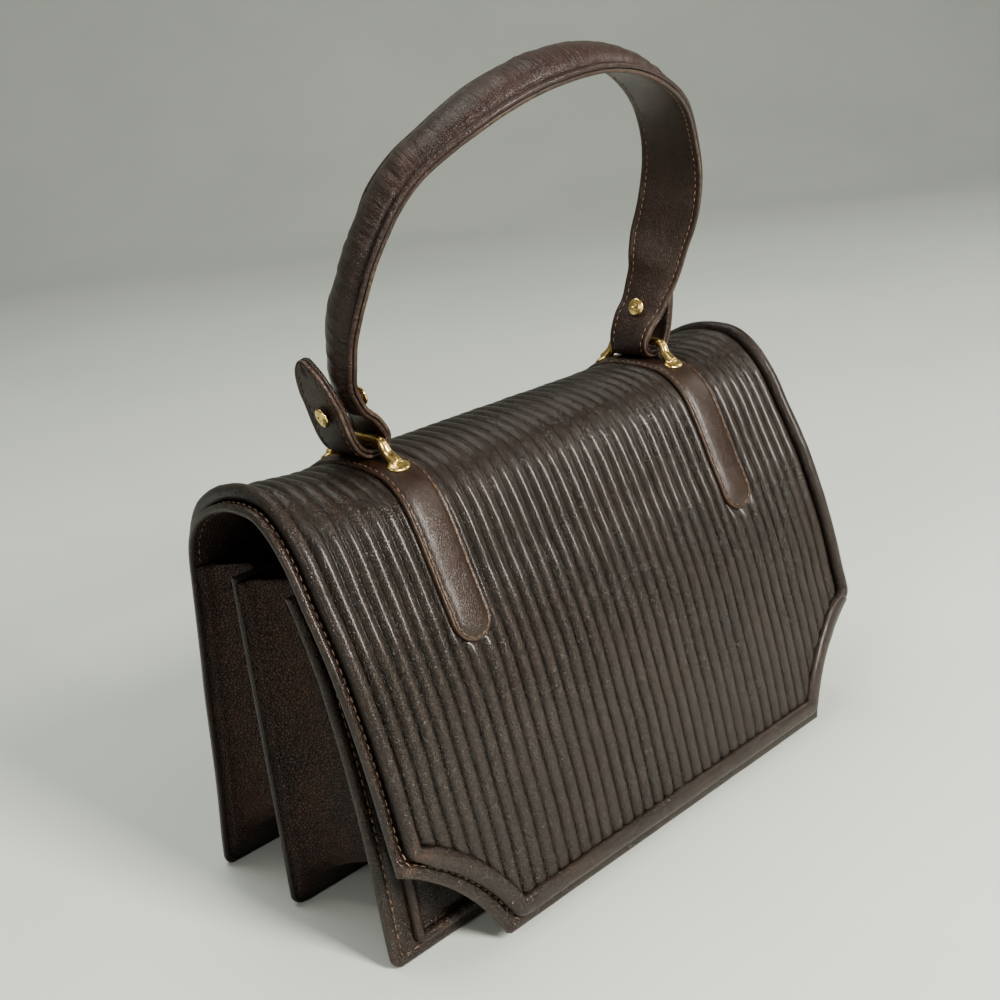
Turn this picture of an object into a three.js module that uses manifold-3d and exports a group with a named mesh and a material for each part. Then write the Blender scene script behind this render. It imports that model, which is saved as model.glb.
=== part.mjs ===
// Structured top-handle leather handbag: one leather shell forms the back, the
// top and the front flap; inside it two accordion gussets join the back, a
// middle divider and the front panel. A padded handle hangs on two brass loops.
// Millimetres, +Z up, bag front towards -Y, origin at the middle of the base.
import * as THREE from 'three';
import { mergeVertices } from 'three/addons/utils/BufferGeometryUtils.js';
import Module from 'manifold-3d';

const wasm = await Module();
wasm.setup();

// ---------------------------------------------------------------- dimensions
const HALF_WIDTH = 125;        // half the bag's width at the flap's edge
const MID_Y = 7.457;           // shift that puts the origin under the box's middle
const FOOT = -4.5;             // level of the base in the tables below
const GAP = 0.3;               // clearance between neighbouring pieces

const PLEAT_THICK = 2.9;       // pleated leather, crest to lining
const SHELL_THICK = 2.2;       // stiff leather behind the pleats
const SHELL_DROP = PLEAT_THICK + GAP;
const ROLL_RADIUS = 2.6;       // piped roll that frames the pleats
const ROLL_INSET = 5.5;        // roll centre from the flap's edge
const PLEAT_INSET = 8.6;       // pleats start this far from the flap's edge
const FLAP_BOTTOM = -0.8;      // level of the flap's hem
const HEM_EXTRA = 2.4;         // the border is this much wider along the hem and notches
const NOTCH_TOP = 38;          // notch starts this high on the side edge
const NOTCH_FOOT = 89.6;       // notch ends at this half width on the hem
const NOTCH_SAG = 4.7;         // how far the notch's arc bows inward

const STRAP_X = 71.4;          // centre of each strap over the top
const STRAP_WIDTH = 16.3;
const STRAP_THICK = 1.5;

const PANEL_THICK = 2.6;       // front panel and divider
const PANEL_HALF = 124;
const DIVIDER_Y = 8.5;
const DIVIDER_TOP = 123;
const PANEL_ROLL_RADIUS = 2.2;
const PANEL_ROLL_INSET = 11.6;  // along the sides
const PANEL_ROLL_FOOT = 6.6;    // along the bottom

const GUSSET_THICK = 1.8;
const GUSSET_HALF = 123.4;
const GUSSET_TOP = 121;
const REAR_FOLD = { side: 9, bottom: 19 };    // depth of the inward fold
const FRONT_FOLD = { side: 10, bottom: 15.5 };

const HANDLE_THICK = 3.2;
const HANDLE_FLANGE = 3.4;     // flat stitched margin beside the padding
const RIVET_CAP_RADIUS = 3.5;
const RIVET_SHAFT_RADIUS = 1.1;
const LOOP_WIRE_RADIUS = 1.35;

// Side profile of the pleated surface, from the foot of the back, over the top,
// down to the flap's hem. yMid, zMid hold across the middle of the bag; yEnd,
// zEnd hold at its two ends, where the top stands rounder.
const PROFILE_COLUMNS = ['yMid', 'zMid', 'yEnd', 'zEnd'];
const PROFILE = [
  [55.7, FOOT, 55.7, FOOT],
  [54.0, 8.6, 54.0, 8.6],
  [50.6, 27.3, 50.6, 27.3],
  [48.1, 45.1, 48.1, 45.1],
  [45.0, 70.7, 45.0, 70.7],
  [42.2, 87.5, 42.2, 87.5],
  [40.2, 101.0, 40.2, 101.0],
  [38.4, 113.0, 38.4, 113.0],
  [36.6, 123.0, 36.8, 123.5],
  [34.2, 130.0, 34.8, 131.0],
  [30.6, 136.0, 31.2, 137.6],
  [26.0, 140.6, 25.8, 143.4],
  [20.4, 144.6, 19.2, 147.4],
  [14.0, 147.6, 12.6, 150.2],
  [7.0, 149.3, 5.8, 152.0],
  [0.0, 149.8, 0.0, 152.8],
  [-7.0, 149.7, -5.5, 152.8],
  [-12.3, 149.2, -10.4, 152.4],
  [-17.8, 148.3, -14.8, 151.1],
  [-22.5, 146.4, -18.8, 148.6],
  [-26.5, 143.4, -22.6, 145.4],
  [-30.0, 139.0, -26.0, 141.6],
  [-33.0, 133.4, -29.2, 137.0],
  [-35.8, 127.2, -32.6, 131.0],
  [-38.2, 121.4, -36.0, 123.6],
  [-41.2, 114.0, -40.0, 116.0],
  [-45.4, 104.5, -45.2, 105.0],
  [-49.2, 94.5, -49.2, 94.5],
  [-53.0, 83.5, -53.0, 83.5],
  [-57.0, 69.3, -57.0, 69.3],
  [-60.9, 52.3, -60.9, 52.3],
  [-63.6, 41.0, -63.6, 41.0],
  [-67.3, 22.0, -67.3, 22.0],
  [-71.3, FLAP_BOTTOM, -71.3, FLAP_BOTTOM],
].map((row) => Object.fromEntries(row.map((v, i) => [PROFILE_COLUMNS[i], v])));

// Outer face of the front panel, from its foot to its top hem.
const PANEL_COLUMNS = ['y', 'z'];
const PANEL = [
  [-49.2, FOOT], [-47.9, 6.0], [-46.6, 22.0], [-44.8, 42.0], [-42.6, 57.6],
  [-39.4, 74.9], [-34.6, 96.1], [-30.6, 107.1], [-26.7, 116.4], [-23.4, 122.8],
].map((row) => Object.fromEntries(row.map((v, i) => [PANEL_COLUMNS[i], v])));

// Handle: front edge of the strap from the loop up to the apex (right half),
// the turn of its cross direction about its own length, and its width.
const HANDLE_COLUMNS = ['x', 'y', 'z', 'turn', 'width', 'pad'];
const HANDLE = [
  [66.9, -10.6, 158.8, 3, 19.0, 0],
  [70.8, -11.4, 164.6, 12, 19.0, 0],
  [75.5, -12.2, 168.6, 18, 19.2, 2.2],
  [79.0, -13.2, 174.0, 25, 19.6, 2.8],
  [81.3, -14.8, 178.6, 30, 20.5, 3.6],
  [82.6, -17.7, 185.4, 32, 22.3, 4.7],
  [83.3, -20.9, 193.6, 28.5, 23.8, 4.8],
  [83.3, -24.8, 201.2, 25.3, 24.4, 4.3],
  [82.3, -28.6, 209.4, 23, 24.4, 3.9],
  [80.0, -32.2, 218.6, 18, 24.0, 3.3],
  [76.4, -35.4, 227.0, 12.5, 23.4, 2.6],
  [71.7, -38.2, 235.0, 6.3, 22.8, 2.2],
  [65.4, -42.0, 242.6, 1.7, 22.8, 2.2],
  [57.2, -46.8, 249.0, -2.5, 23.2, 2.5],
  [47.9, -51.0, 254.4, -6.5, 24.0, 2.9],
  [37.5, -54.1, 259.1, -9.7, 24.6, 3.3],
  [26.0, -56.8, 263.0, -11.7, 25, 3.6],
  [13.3, -59.0, 265.6, -13.2, 25, 3.7],
  [0, -60.0, 266.7, -14, 25, 3.6],
].map((row) => Object.fromEntries(row.map((v, i) => [HANDLE_COLUMNS[i], v])));

// The strap's turned-up end: from the tab's tip down its outside, under the
// brass bar, to the foot of the leg. yFront and yBack are its two edges.
const TAB_COLUMNS = ['x', 'z', 'yFront', 'yBack'];
const TAB = [
  [88.7, 188.6, -1.6, 1.4],
  [88.1, 186.2, -4.4, 4.4],
  [87.2, 182.6, -7.0, 6.6],
  [85.5, 176.8, -9.2, 8.2],
  [83.8, 171.6, -10.2, 8.6],
  [82.3, 165.5, -10.4, 8.6],
  [80.9, 160.8, -10.4, 8.6],
  [79.0, 157.0, -10.4, 8.6],
  [76.4, 154.6, -10.4, 8.6],
  [73.2, 153.6, -10.4, 8.6],
  [70.2, 153.8, -10.4, 8.6],
  [67.8, 155.3, -10.4, 8.6],
].map((row) => Object.fromEntries(row.map((v, i) => [TAB_COLUMNS[i], v])));

const BAR = { x: 72.2, z: 158.4, yFront: -13.2, yBack: 11.4 };
const RIVET_OUTER = new THREE.Vector3(86.6, -1.0, 168.1);
const RIVET_INNER = new THREE.Vector3(69.4, -3.2, 172.6);

// ------------------------------------------------------------------- helpers
const V3 = (x, y, z) => new THREE.Vector3(x, y, z);
const lerp = THREE.MathUtils.lerp;

function signedVolume(positions, indices) {
  let volume = 0;
  for (let i = 0; i < indices.length; i += 3) {
    const [a, b, c] = [0, 1, 2].map((k) => positions[indices[i + k]]);
    volume += a.dot(b.clone().cross(c)) / 6;
  }
  return volume;
}

function closedGeometry(positions, indices) {
  if (signedVolume(positions, indices) < 0) {
    for (let i = 0; i < indices.length; i += 3) {
      [indices[i + 1], indices[i + 2]] = [indices[i + 2], indices[i + 1]];
    }
  }
  const geometry = new THREE.BufferGeometry();
  geometry.setFromPoints(positions);
  geometry.setIndex(indices);
  return geometry;
}

// A wall between two matching grids of points, closed all round its edges.
function wallBetween(outer, inner) {
  const rows = outer.length;
  const cols = outer[0].length;
  const positions = [...outer.flat(), ...inner.flat()];
  const O = (i, j) => i * cols + j;
  const I = (i, j) => rows * cols + i * cols + j;
  const indices = [];
  const quad = (a, b, c, d) => indices.push(a, b, c, a, c, d);
  for (let i = 0; i < rows - 1; i++) {
    for (let j = 0; j < cols - 1; j++) {
      quad(O(i, j), O(i + 1, j), O(i + 1, j + 1), O(i, j + 1));
      quad(I(i, j), I(i, j + 1), I(i + 1, j + 1), I(i + 1, j));
    }
  }
  for (let i = 0; i < rows - 1; i++) {
    quad(O(i, 0), I(i, 0), I(i + 1, 0), O(i + 1, 0));
    quad(O(i, cols - 1), O(i + 1, cols - 1), I(i + 1, cols - 1), I(i, cols - 1));
  }
  for (let j = 0; j < cols - 1; j++) {
    quad(O(0, j), O(0, j + 1), I(0, j + 1), I(0, j));
    quad(O(rows - 1, j), I(rows - 1, j), I(rows - 1, j + 1), O(rows - 1, j + 1));
  }
  return closedGeometry(positions, indices);
}

// A solid through a row of equal loops; ringed joins the last loop to the first.
function loft(loops, ringed = false) {
  const n = loops[0].length;
  const positions = loops.flat();
  const indices = [];
  const last = ringed ? loops.length : loops.length - 1;
  for (let i = 0; i < last; i++) {
    const next = (i + 1) % loops.length;
    for (let j = 0; j < n; j++) {
      const k = (j + 1) % n;
      indices.push(i * n + j, next * n + j, next * n + k);
      indices.push(i * n + j, next * n + k, i * n + k);
    }
  }
  if (!ringed) {
    for (let j = 1; j < n - 1; j++) {
      indices.push(0, j, j + 1);
      const e = (loops.length - 1) * n;
      indices.push(e, e + j + 1, e + j);
    }
  }
  return closedGeometry(positions, indices);
}

function toManifold(geometry) {
  let g = geometry.index ? geometry.clone() : geometry.clone();
  g.deleteAttribute('normal');
  g.deleteAttribute('uv');
  g = mergeVertices(g, 1e-4);
  return new wasm.Manifold(new wasm.Mesh({
    numProp: 3,
    vertProperties: new Float32Array(g.attributes.position.array),
    triVerts: new Uint32Array(g.index.array),
  }));
}

function fromManifold(solid) {
  const mesh = solid.getMesh();
  const geometry = new THREE.BufferGeometry();
  geometry.setAttribute('position', new THREE.BufferAttribute(new Float32Array(mesh.vertProperties), 3));
  geometry.setIndex(new THREE.BufferAttribute(new Uint32Array(mesh.triVerts), 1));
  return geometry;
}

const smooth = (t) => t * t * (3 - 2 * t);

// Point of the pleated surface at width x and profile station t, moved out of
// the leather by off.
function profilePoint(x, t, off = 0) {
  const blend = smooth(THREE.MathUtils.clamp((Math.abs(x) - 88) / 30, 0, 1));
  const at = (i) => {
    const row = PROFILE[THREE.MathUtils.clamp(i, 0, PROFILE.length - 1)];
    return new THREE.Vector2(lerp(row.yMid, row.yEnd, blend), lerp(row.zMid, row.zEnd, blend));
  };
  const i = Math.min(Math.floor(t), PROFILE.length - 2);
  const p = at(i).lerp(at(i + 1), t - i);
  const tangentAt = (k) => at(k + 1).sub(at(k - 1)).normalize();
  const tangent = tangentAt(i).lerp(tangentAt(i + 1), t - i).normalize();
  return V3(x, p.x + tangent.y * off, p.y - tangent.x * off);
}

// Station on the back (sign +1) or the front (sign -1) that lies at height z.
function stationAt(z, front) {
  const range = front ? [PROFILE.length - 2, 24, -1] : [0, 8, 1];
  for (let i = range[0]; i !== range[1]; i += range[2]) {
    const a = PROFILE[i].zMid;
    const b = PROFILE[i + 1].zMid;
    if ((z - a) * (z - b) <= 0) return i + (z - a) / (b - a);
  }
  return front ? PROFILE.length - 1 : 0;
}

const stations = (from, to) => {
  const list = [from];
  for (let i = Math.floor(from) + 1; i < to; i++) list.push(i);
  list.push(to);
  return list;
};

// Notch arc of the flap, moved inward by inset, as [x, z] points.
const notch = (() => {
  const a = new THREE.Vector2(HALF_WIDTH, NOTCH_TOP);
  const b = new THREE.Vector2(NOTCH_FOOT, FLAP_BOTTOM);
  const chord = a.distanceTo(b);
  const radius = chord * chord / (8 * NOTCH_SAG) + NOTCH_SAG / 2;
  const mid = a.clone().add(b).multiplyScalar(0.5);
  const out = new THREE.Vector2(a.y - b.y, b.x - a.x).normalize();
  return { radius, centre: mid.add(out.multiplyScalar(radius - NOTCH_SAG)) };
})();

function notchPoints(inset, count, side = HALF_WIDTH - inset) {
  const r = notch.radius + inset;
  const { x: cx, y: cz } = notch.centre;
  const hem = FLAP_BOTTOM + inset;
  const a0 = Math.atan2(Math.sqrt(r * r - (side - cx) ** 2), side - cx);
  const a1 = Math.atan2(hem - cz, -Math.sqrt(r * r - (hem - cz) ** 2));
  return Array.from({ length: count + 1 }, (_, i) => {
    const a = lerp(a0, a1, i / count);
    return [cx + r * Math.cos(a), cz + r * Math.sin(a)];
  });
}

// Prism that trims the flap's lower corner on the side given by sign.
function notchCutter(inset, sign) {
  const arc = notchPoints(inset, 8);
  const shape = new THREE.Shape();
  const far = HALF_WIDTH + 12;
  shape.moveTo(sign * far, arc[0][1]);
  arc.forEach(([x, z]) => shape.lineTo(sign * x, z));
  shape.lineTo(sign * arc[arc.length - 1][0], -15);
  shape.lineTo(sign * far, -15);
  shape.closePath();
  const geometry = new THREE.ExtrudeGeometry(shape, { depth: 70, bevelEnabled: false });
  geometry.rotateX(Math.PI / 2);
  geometry.translate(0, -20, 0);
  return toManifold(geometry);
}

function profileWall(halfWidth, t0, t1, offOuter, offInner) {
  const xs = [-halfWidth, -110, -99, -88, 0, 88, 99, 110, halfWidth];
  const ts = stations(t0, t1);
  const grid = (off) => xs.map((x) => ts.map((t) => {
    const p = profilePoint(x, t, off);
    p.z = Math.max(p.z, FOOT);                  // the foot is cut level with the base
    return p;
  }));
  return wallBetween(grid(offOuter), grid(offInner));
}

// Round roll along a path; outward gives the surface direction at each point.
function roll(points, outwards, radius, sides, ringed) {
  const n = points.length;
  const loops = points.map((p, i) => {
    const before = points[ringed ? (i + n - 1) % n : Math.max(i - 1, 0)];
    const after = points[ringed ? (i + 1) % n : Math.min(i + 1, n - 1)];
    const tangent = after.clone().sub(before).normalize();
    const up = outwards[i].clone().addScaledVector(tangent, -outwards[i].dot(tangent)).normalize();
    const side = tangent.clone().cross(up);
    return Array.from({ length: sides }, (_, k) => {
      const a = (2 * Math.PI * k) / sides;
      return p.clone().addScaledVector(up, radius * Math.cos(a)).addScaledVector(side, radius * Math.sin(a));
    });
  });
  return loft(loops, ringed);
}

// ---------------------------------------------------- shell, pleats and roll
function makeShell() {
  const wall = toManifold(profileWall(HALF_WIDTH, 0, PROFILE.length - 1, -SHELL_DROP, -SHELL_DROP - SHELL_THICK));
  return fromManifold(wall.subtract(notchCutter(0, 1)).subtract(notchCutter(0, -1)));
}

function makePleats() {
  const inset = PLEAT_INSET;
  const half = HALF_WIDTH - inset;
  const wall = toManifold(profileWall(
    half, stationAt(FOOT + inset, false), stationAt(FLAP_BOTTOM + inset + HEM_EXTRA, true), 0, -PLEAT_THICK));
  return fromManifold(wall.subtract(notchCutter(inset + HEM_EXTRA + 0.6, 1)).subtract(notchCutter(inset + HEM_EXTRA + 0.6, -1)));
}

function makeShellRoll() {
  const side = HALF_WIDTH - ROLL_INSET;
  const foot = FOOT + ROLL_INSET;
  const flat = [];                           // [x, station] round the border
  const corner = 3;
  const tBack = stationAt(foot + corner, false);
  const tFoot = stationAt(foot, false);
  const arc = notchPoints(ROLL_INSET + HEM_EXTRA, 5, side);
  const half = [[side - corner, tFoot], [side - 0.8, stationAt(foot + 0.8, false)], [side, tBack]];
  half.push(...stations(tBack + 0.3, stationAt(arc[0][1] + 1.6, true)).map((t) => [side, t]));
  half.push(...arc.slice(0, -1).map(([x, z], i) => [i ? x : x - 0.5, stationAt(i ? z : z - 0.5, true)]));
  const end = arc[arc.length - 1];
  half.push([end[0] + 0.8, stationAt(end[1] + 1.0, true)], [end[0] - 2.2, stationAt(end[1], true)]);
  flat.push(...half);
  flat.push([0, stationAt(end[1], true)]);
  flat.push(...half.slice().reverse().map(([x, t]) => [-x, t]));
  flat.push([0, tFoot]);
  const points = flat.map(([x, t]) => profilePoint(x, t, 0));
  const outwards = flat.map(([x, t]) => profilePoint(x, t, 1).sub(profilePoint(x, t, 0)));
  return roll(points, outwards, ROLL_RADIUS, 8, true);
}

// --------------------------------------------------------- front panel group
function panelPoint(x, z, off = 0) {
  let i = PANEL.findIndex((row, k) => k < PANEL.length - 1 && z <= PANEL[k + 1].z);
  if (i < 0) i = PANEL.length - 2;
  const [a, b] = [PANEL[i], PANEL[i + 1]];
  const y = lerp(a.y, b.y, (z - a.z) / (b.z - a.z));
  const tangent = new THREE.Vector2(b.y - a.y, b.z - a.z).normalize();
  return V3(x, y - tangent.y * off, z + tangent.x * off);
}

function makeFrontPanel() {
  const xs = [-PANEL_HALF, 0, PANEL_HALF];
  const grid = (dy) => xs.map((x) => PANEL.map((row) => V3(x, row.y + dy, row.z)));
  return wallBetween(grid(0), grid(PANEL_THICK));
}

function makePanelRoll() {
  const half = PANEL_HALF - PANEL_ROLL_INSET;
  const low = FOOT + PANEL_ROLL_FOOT;
  const high = PANEL[PANEL.length - 1].z - 6;
  const r = 3;
  const side = [[half - r, low], [half - 0.8, low + 0.8], [half, low + r]];
  PANEL.filter((row) => row.z > low + r + 2 && row.z < high - r - 2).forEach((row) => side.push([half, row.z]));
  side.push([half, high - r], [half - 0.8, high - 0.8], [half - r, high]);
  const flat = [...side, [0, high], ...side.slice().reverse().map(([x, z]) => [-x, z]), [0, low]];
  const off = PANEL_ROLL_RADIUS + GAP + 0.15;
  const points = flat.map(([x, z]) => panelPoint(x, z, off));
  const outwards = flat.map(([x, z]) => panelPoint(x, z, off + 1).sub(panelPoint(x, z, off)));
  return roll(points, outwards, PANEL_ROLL_RADIUS, 8, true);
}

function makeDivider() {
  const geometry = new THREE.BoxGeometry(2 * PANEL_HALF, PANEL_THICK, DIVIDER_TOP - FOOT);
  geometry.translate(0, DIVIDER_Y, (DIVIDER_TOP + FOOT) / 2);
  return mergeVertices((() => { geometry.deleteAttribute('normal'); geometry.deleteAttribute('uv'); return geometry; })());
}

// ------------------------------------------------------------------- gussets
// A strip folded inward along its middle that runs down one side, along the
// bottom and up the other side, between the walls yA(z) and yB(z).
function makeGusset(yA, yB, fold) {
  const base = FOOT + GAP + 0.1;
  const corner = 5;
  const half = GUSSET_HALF;
  const side = [];                            // outer point, fold point in [x, z]
  [GUSSET_TOP, 112, 98, 82, 64, 46, 30].forEach((z) => side.push([[half, z], [half - fold.side, z]]));
  side.push([[half, 16], [half - fold.side, Math.max(fold.bottom + 5, 18)]]);
  side.push([[half, base + corner], [half - fold.side - 1, fold.bottom + 2]]);
  side.push([[half - 1.5, base + 1.5], [half - fold.side - 2.4, fold.bottom + 0.6]]);
  side.push([[half - corner, base], [half - fold.side - 5, fold.bottom]]);
  side.push([[half - 24, base], [half - 26, fold.bottom]]);
  const path = [...side, [[0, base], [0, fold.bottom]], ...side.slice().reverse().map(([o, v]) => [[-o[0], o[1]], [-v[0], v[1]]])];
  const grids = [0, 1].map((layer) => path.map(([o, v]) => {
    const inward = new THREE.Vector2(v[0] - o[0], v[1] - o[1]).normalize().multiplyScalar(layer * GUSSET_THICK);
    const a = yA(o[1]) - 2 * GAP;
    const b = yB(o[1]) + 2 * GAP;
    const m = (yA(v[1]) + yB(v[1])) / 2;
    const row = [[a, 0], [lerp(a, m, 0.12), 0.22], [lerp(a, m, 0.8), 0.94], [m, 1], [lerp(b, m, 0.8), 0.94], [lerp(b, m, 0.12), 0.22], [b, 0]];
    return row.map(([y, k]) => V3(lerp(o[0], v[0], k) + inward.x, y, lerp(o[1], v[1], k) + inward.y));
  }));
  return wallBetween(grids[0], grids[1]);
}

const shellInnerY = (z) => profilePoint(0, stationAt(z, false), -SHELL_DROP - SHELL_THICK).y;
const panelInnerY = (z) => panelPoint(0, Math.min(z, GUSSET_TOP), 0).y + PANEL_THICK;

// -------------------------------------------------- straps, loops and handle
function makeStrap(sign) {
  const t0 = 4.4;                              // tail on the back
  const t1 = 27.0;                             // rounded tip on the front
  const h = STRAP_WIDTH / 2;
  const rows = [[t0, 0.45], [t0 + 0.14, 0.85], [t0 + 0.34, 1]];
  for (let t = 5; t <= 26; t++) rows.push([t, 1]);
  rows.push([t1 - 0.36, 0.95], [t1 - 0.15, 0.72], [t1, 0.32]);
  const grid = (off) => rows.map(([t, k]) => [-1, 1].map((s) => profilePoint(sign * (STRAP_X + s * h * k), t, off)));
  return wallBetween(grid(GAP + STRAP_THICK), grid(GAP));
}

function surfaceTop(y) {
  for (let t = 8; t < 25; t += 0.02) {
    const p = profilePoint(STRAP_X, t, GAP + STRAP_THICK);
    if (p.y <= y) return { z: p.z, normal: profilePoint(STRAP_X, t, 3).sub(profilePoint(STRAP_X, t, 2)) };
  }
  return null;
}

function makeLoop(sign) {
  const foot = (y) => {
    const at = surfaceTop(y);
    const g = new THREE.CylinderGeometry(3.6, 4.0, 1.7, 16);
    g.scale(1, 1, 0.82);
    g.applyQuaternion(new THREE.Quaternion().setFromUnitVectors(V3(0, 1, 0), at.normal));
    const c = V3(BAR.x - 0.9, y, at.z).addScaledVector(at.normal, GAP + 1.25);
    g.translate(c.x, c.y, c.z);
    return { g, c };
  };
  const front = foot(-19.6);
  const back = foot(17.6);
  const curve = new THREE.CatmullRomCurve3([
    front.c.clone().add(V3(0, 1.2, 0.9)), V3(BAR.x - 0.5, BAR.yFront - 2.2, 154.0), V3(BAR.x, BAR.yFront - 0.9, 156.6),
    V3(BAR.x, BAR.yFront + 1.2, BAR.z), V3(BAR.x, -1, BAR.z), V3(BAR.x, BAR.yBack - 1.2, BAR.z),
    V3(BAR.x, BAR.yBack + 0.9, 156.0), V3(BAR.x - 0.5, BAR.yBack + 2.0, 153.0), back.c.clone().add(V3(0, -1.2, 0.9)),
  ], false, 'centripetal');
  const wire = new THREE.Shape().absarc(0, 0, LOOP_WIRE_RADIUS, 0, 2 * Math.PI, false);
  const tube = new THREE.ExtrudeGeometry(wire, { steps: 36, curveSegments: 8, bevelEnabled: false, extrudePath: curve });
  const solid = toManifold(tube).add(toManifold(front.g)).add(toManifold(back.g));
  const geometry = fromManifold(solid);
  if (sign < 0) mirrorX(geometry);
  return geometry;
}

function mirrorX(geometry) {
  const pos = geometry.attributes.position;
  for (let i = 0; i < pos.count; i++) pos.setX(i, -pos.getX(i));
  const index = geometry.index.array;
  for (let i = 0; i < index.length; i += 3) [index[i + 1], index[i + 2]] = [index[i + 2], index[i + 1]];
}

// Stations of the handle strap's right half, ring end first: front edge point,
// cross direction, outward direction and width.
function handleStations() {
  const curve = new THREE.CatmullRomCurve3(HANDLE.map((r) => V3(r.x, r.y, r.z)), false, 'centripetal');
  return HANDLE.map((row, i) => {
    const last = i === HANDLE.length - 1;
    const u = i / (HANDLE.length - 1);
    const tangent = last ? V3(-1, 0, 0) : curve.getTangent(u).normalize();
    const a = V3(0, 1, 0).addScaledVector(tangent, -tangent.y).normalize();
    const b = tangent.clone().cross(a);
    const turn = THREE.MathUtils.degToRad(row.turn);
    const cross = a.multiplyScalar(Math.cos(turn)).addScaledVector(b, Math.sin(turn)).normalize();
    return { edge: V3(row.x, row.y, row.z), cross, out: cross.clone().cross(tangent).normalize(), width: row.width, pad: row.pad };
  });
}

const HOLE = (() => {
  const axis = RIVET_OUTER.clone().sub(RIVET_INNER).normalize();
  return { axis, turn: new THREE.Quaternion().setFromUnitVectors(V3(0, 1, 0), axis) };
})();

function rivetHole(sign, radius) {
  const g = new THREE.CylinderGeometry(radius, radius, 40, 12);
  g.applyQuaternion(HOLE.turn);
  const c = RIVET_OUTER.clone().lerp(RIVET_INNER, 0.5);
  g.translate(c.x, c.y, c.z);
  const m = mergeVertices((() => { g.deleteAttribute('normal'); g.deleteAttribute('uv'); return g; })());
  if (sign < 0) mirrorX(m);
  return toManifold(m);
}

function halfStrapSections() {
  const sections = [];
  TAB.forEach((row, i) => {
    const prev = TAB[Math.max(i - 1, 0)];
    const next = i < TAB.length - 1 ? TAB[i + 1] : HANDLE[0];
    const t = V3(next.x - prev.x, 0, next.z - prev.z).normalize();
    sections.push({
      front: V3(row.x, row.yFront, row.z), back: V3(row.x, row.yBack, row.z), out: V3(0, 1, 0).cross(t).normalize(), pad: 0,
    });
  });
  handleStations().forEach((s) => sections.push({
    front: s.edge, back: s.edge.clone().addScaledVector(s.cross, s.width), out: s.out, pad: s.pad,
  }));
  return sections;
}

const mirrored = (s) => ({
  front: V3(-s.front.x, s.front.y, s.front.z), back: V3(-s.back.x, s.back.y, s.back.z),
  out: V3(-s.out.x, s.out.y, s.out.z), pad: s.pad,
});

function makeHandleStrap() {
  const right = halfStrapSections();
  const all = [...right, ...right.slice(0, -1).reverse().map(mirrored)];
  const grid = (off) => all.map((s) => [0, 0.5, 1].map((k) => s.front.clone().lerp(s.back, k).addScaledVector(s.out, off)));
  const solid = toManifold(wallBetween(grid(HANDLE_THICK / 2), grid(-HANDLE_THICK / 2)));
  return fromManifold(solid.subtract(rivetHole(1, RIVET_SHAFT_RADIUS + GAP)).subtract(rivetHole(-1, RIVET_SHAFT_RADIUS + GAP)));
}

function makeHandleCover() {
  const right = halfStrapSections().filter((s) => s.pad > 0);
  const all = [...right, ...right.slice(0, -1).reverse().map(mirrored)];
  const loops = all.map((s) => {
    const cross = s.back.clone().sub(s.front);
    const width = cross.length();
    cross.normalize();
    const low = HANDLE_THICK / 2 + 2.5 * GAP;
    const f = HANDLE_FLANGE;
    const w = width - 2 * f;
    const rows = [[0, 0], [0.03, 0.45], [0.14, 0.8], [0.32, 0.97], [0.5, 1], [0.68, 0.97], [0.86, 0.8], [0.97, 0.45], [1, 0], [0.5, 0]];
    return rows.map(([u, v]) => s.front.clone().addScaledVector(cross, f + u * w).addScaledVector(s.out, low + v * s.pad));
  });
  const solid = toManifold(loft(loops));
  return fromManifold(solid.subtract(rivetHole(1, RIVET_SHAFT_RADIUS + GAP)).subtract(rivetHole(-1, RIVET_SHAFT_RADIUS + GAP)));
}

function makeRivet(sign) {
  const length = RIVET_OUTER.distanceTo(RIVET_INNER);
  const [R, r, t] = [RIVET_CAP_RADIUS, RIVET_SHAFT_RADIUS, 1.1];
  const half = [[0, 0], [r + 1.2, 0.0], [R - 0.5, 0.25], [R, 0.7], [R, t], [r, t], [r, length - t], [R, length - t], [R, length - 0.7], [R - 0.5, length - 0.25], [r + 1.2, length], [0, length]];
  const g = new THREE.LatheGeometry(half.map(([x, y]) => new THREE.Vector2(x, y)), 20);
  g.applyQuaternion(HOLE.turn);
  g.translate(RIVET_INNER.x, RIVET_INNER.y, RIVET_INNER.z);
  const m = fromManifold(toManifold(g));
  if (sign < 0) mirrorX(m);
  return m;
}

// --------------------------------------------------------------- the handbag
const finish = {
  pleats: { color: 0x4a3e34, roughness: 0.5, metalness: 0 },
  smooth: { color: 0x564839, roughness: 0.45, metalness: 0 },
  gusset: { color: 0x4b3229, roughness: 0.75, metalness: 0 },
  handle: { color: 0x4e2f25, roughness: 0.45, metalness: 0 },
  brass: { color: 0xd9c48a, roughness: 0.2, metalness: 1 },
};

const bag = new THREE.Group();
bag.position.set(0, MID_Y, -FOOT);

function add(name, geometry, look) {
  const mesh = new THREE.Mesh(geometry, new THREE.MeshStandardMaterial(look));
  mesh.name = name;
  bag.add(mesh);
}

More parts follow.
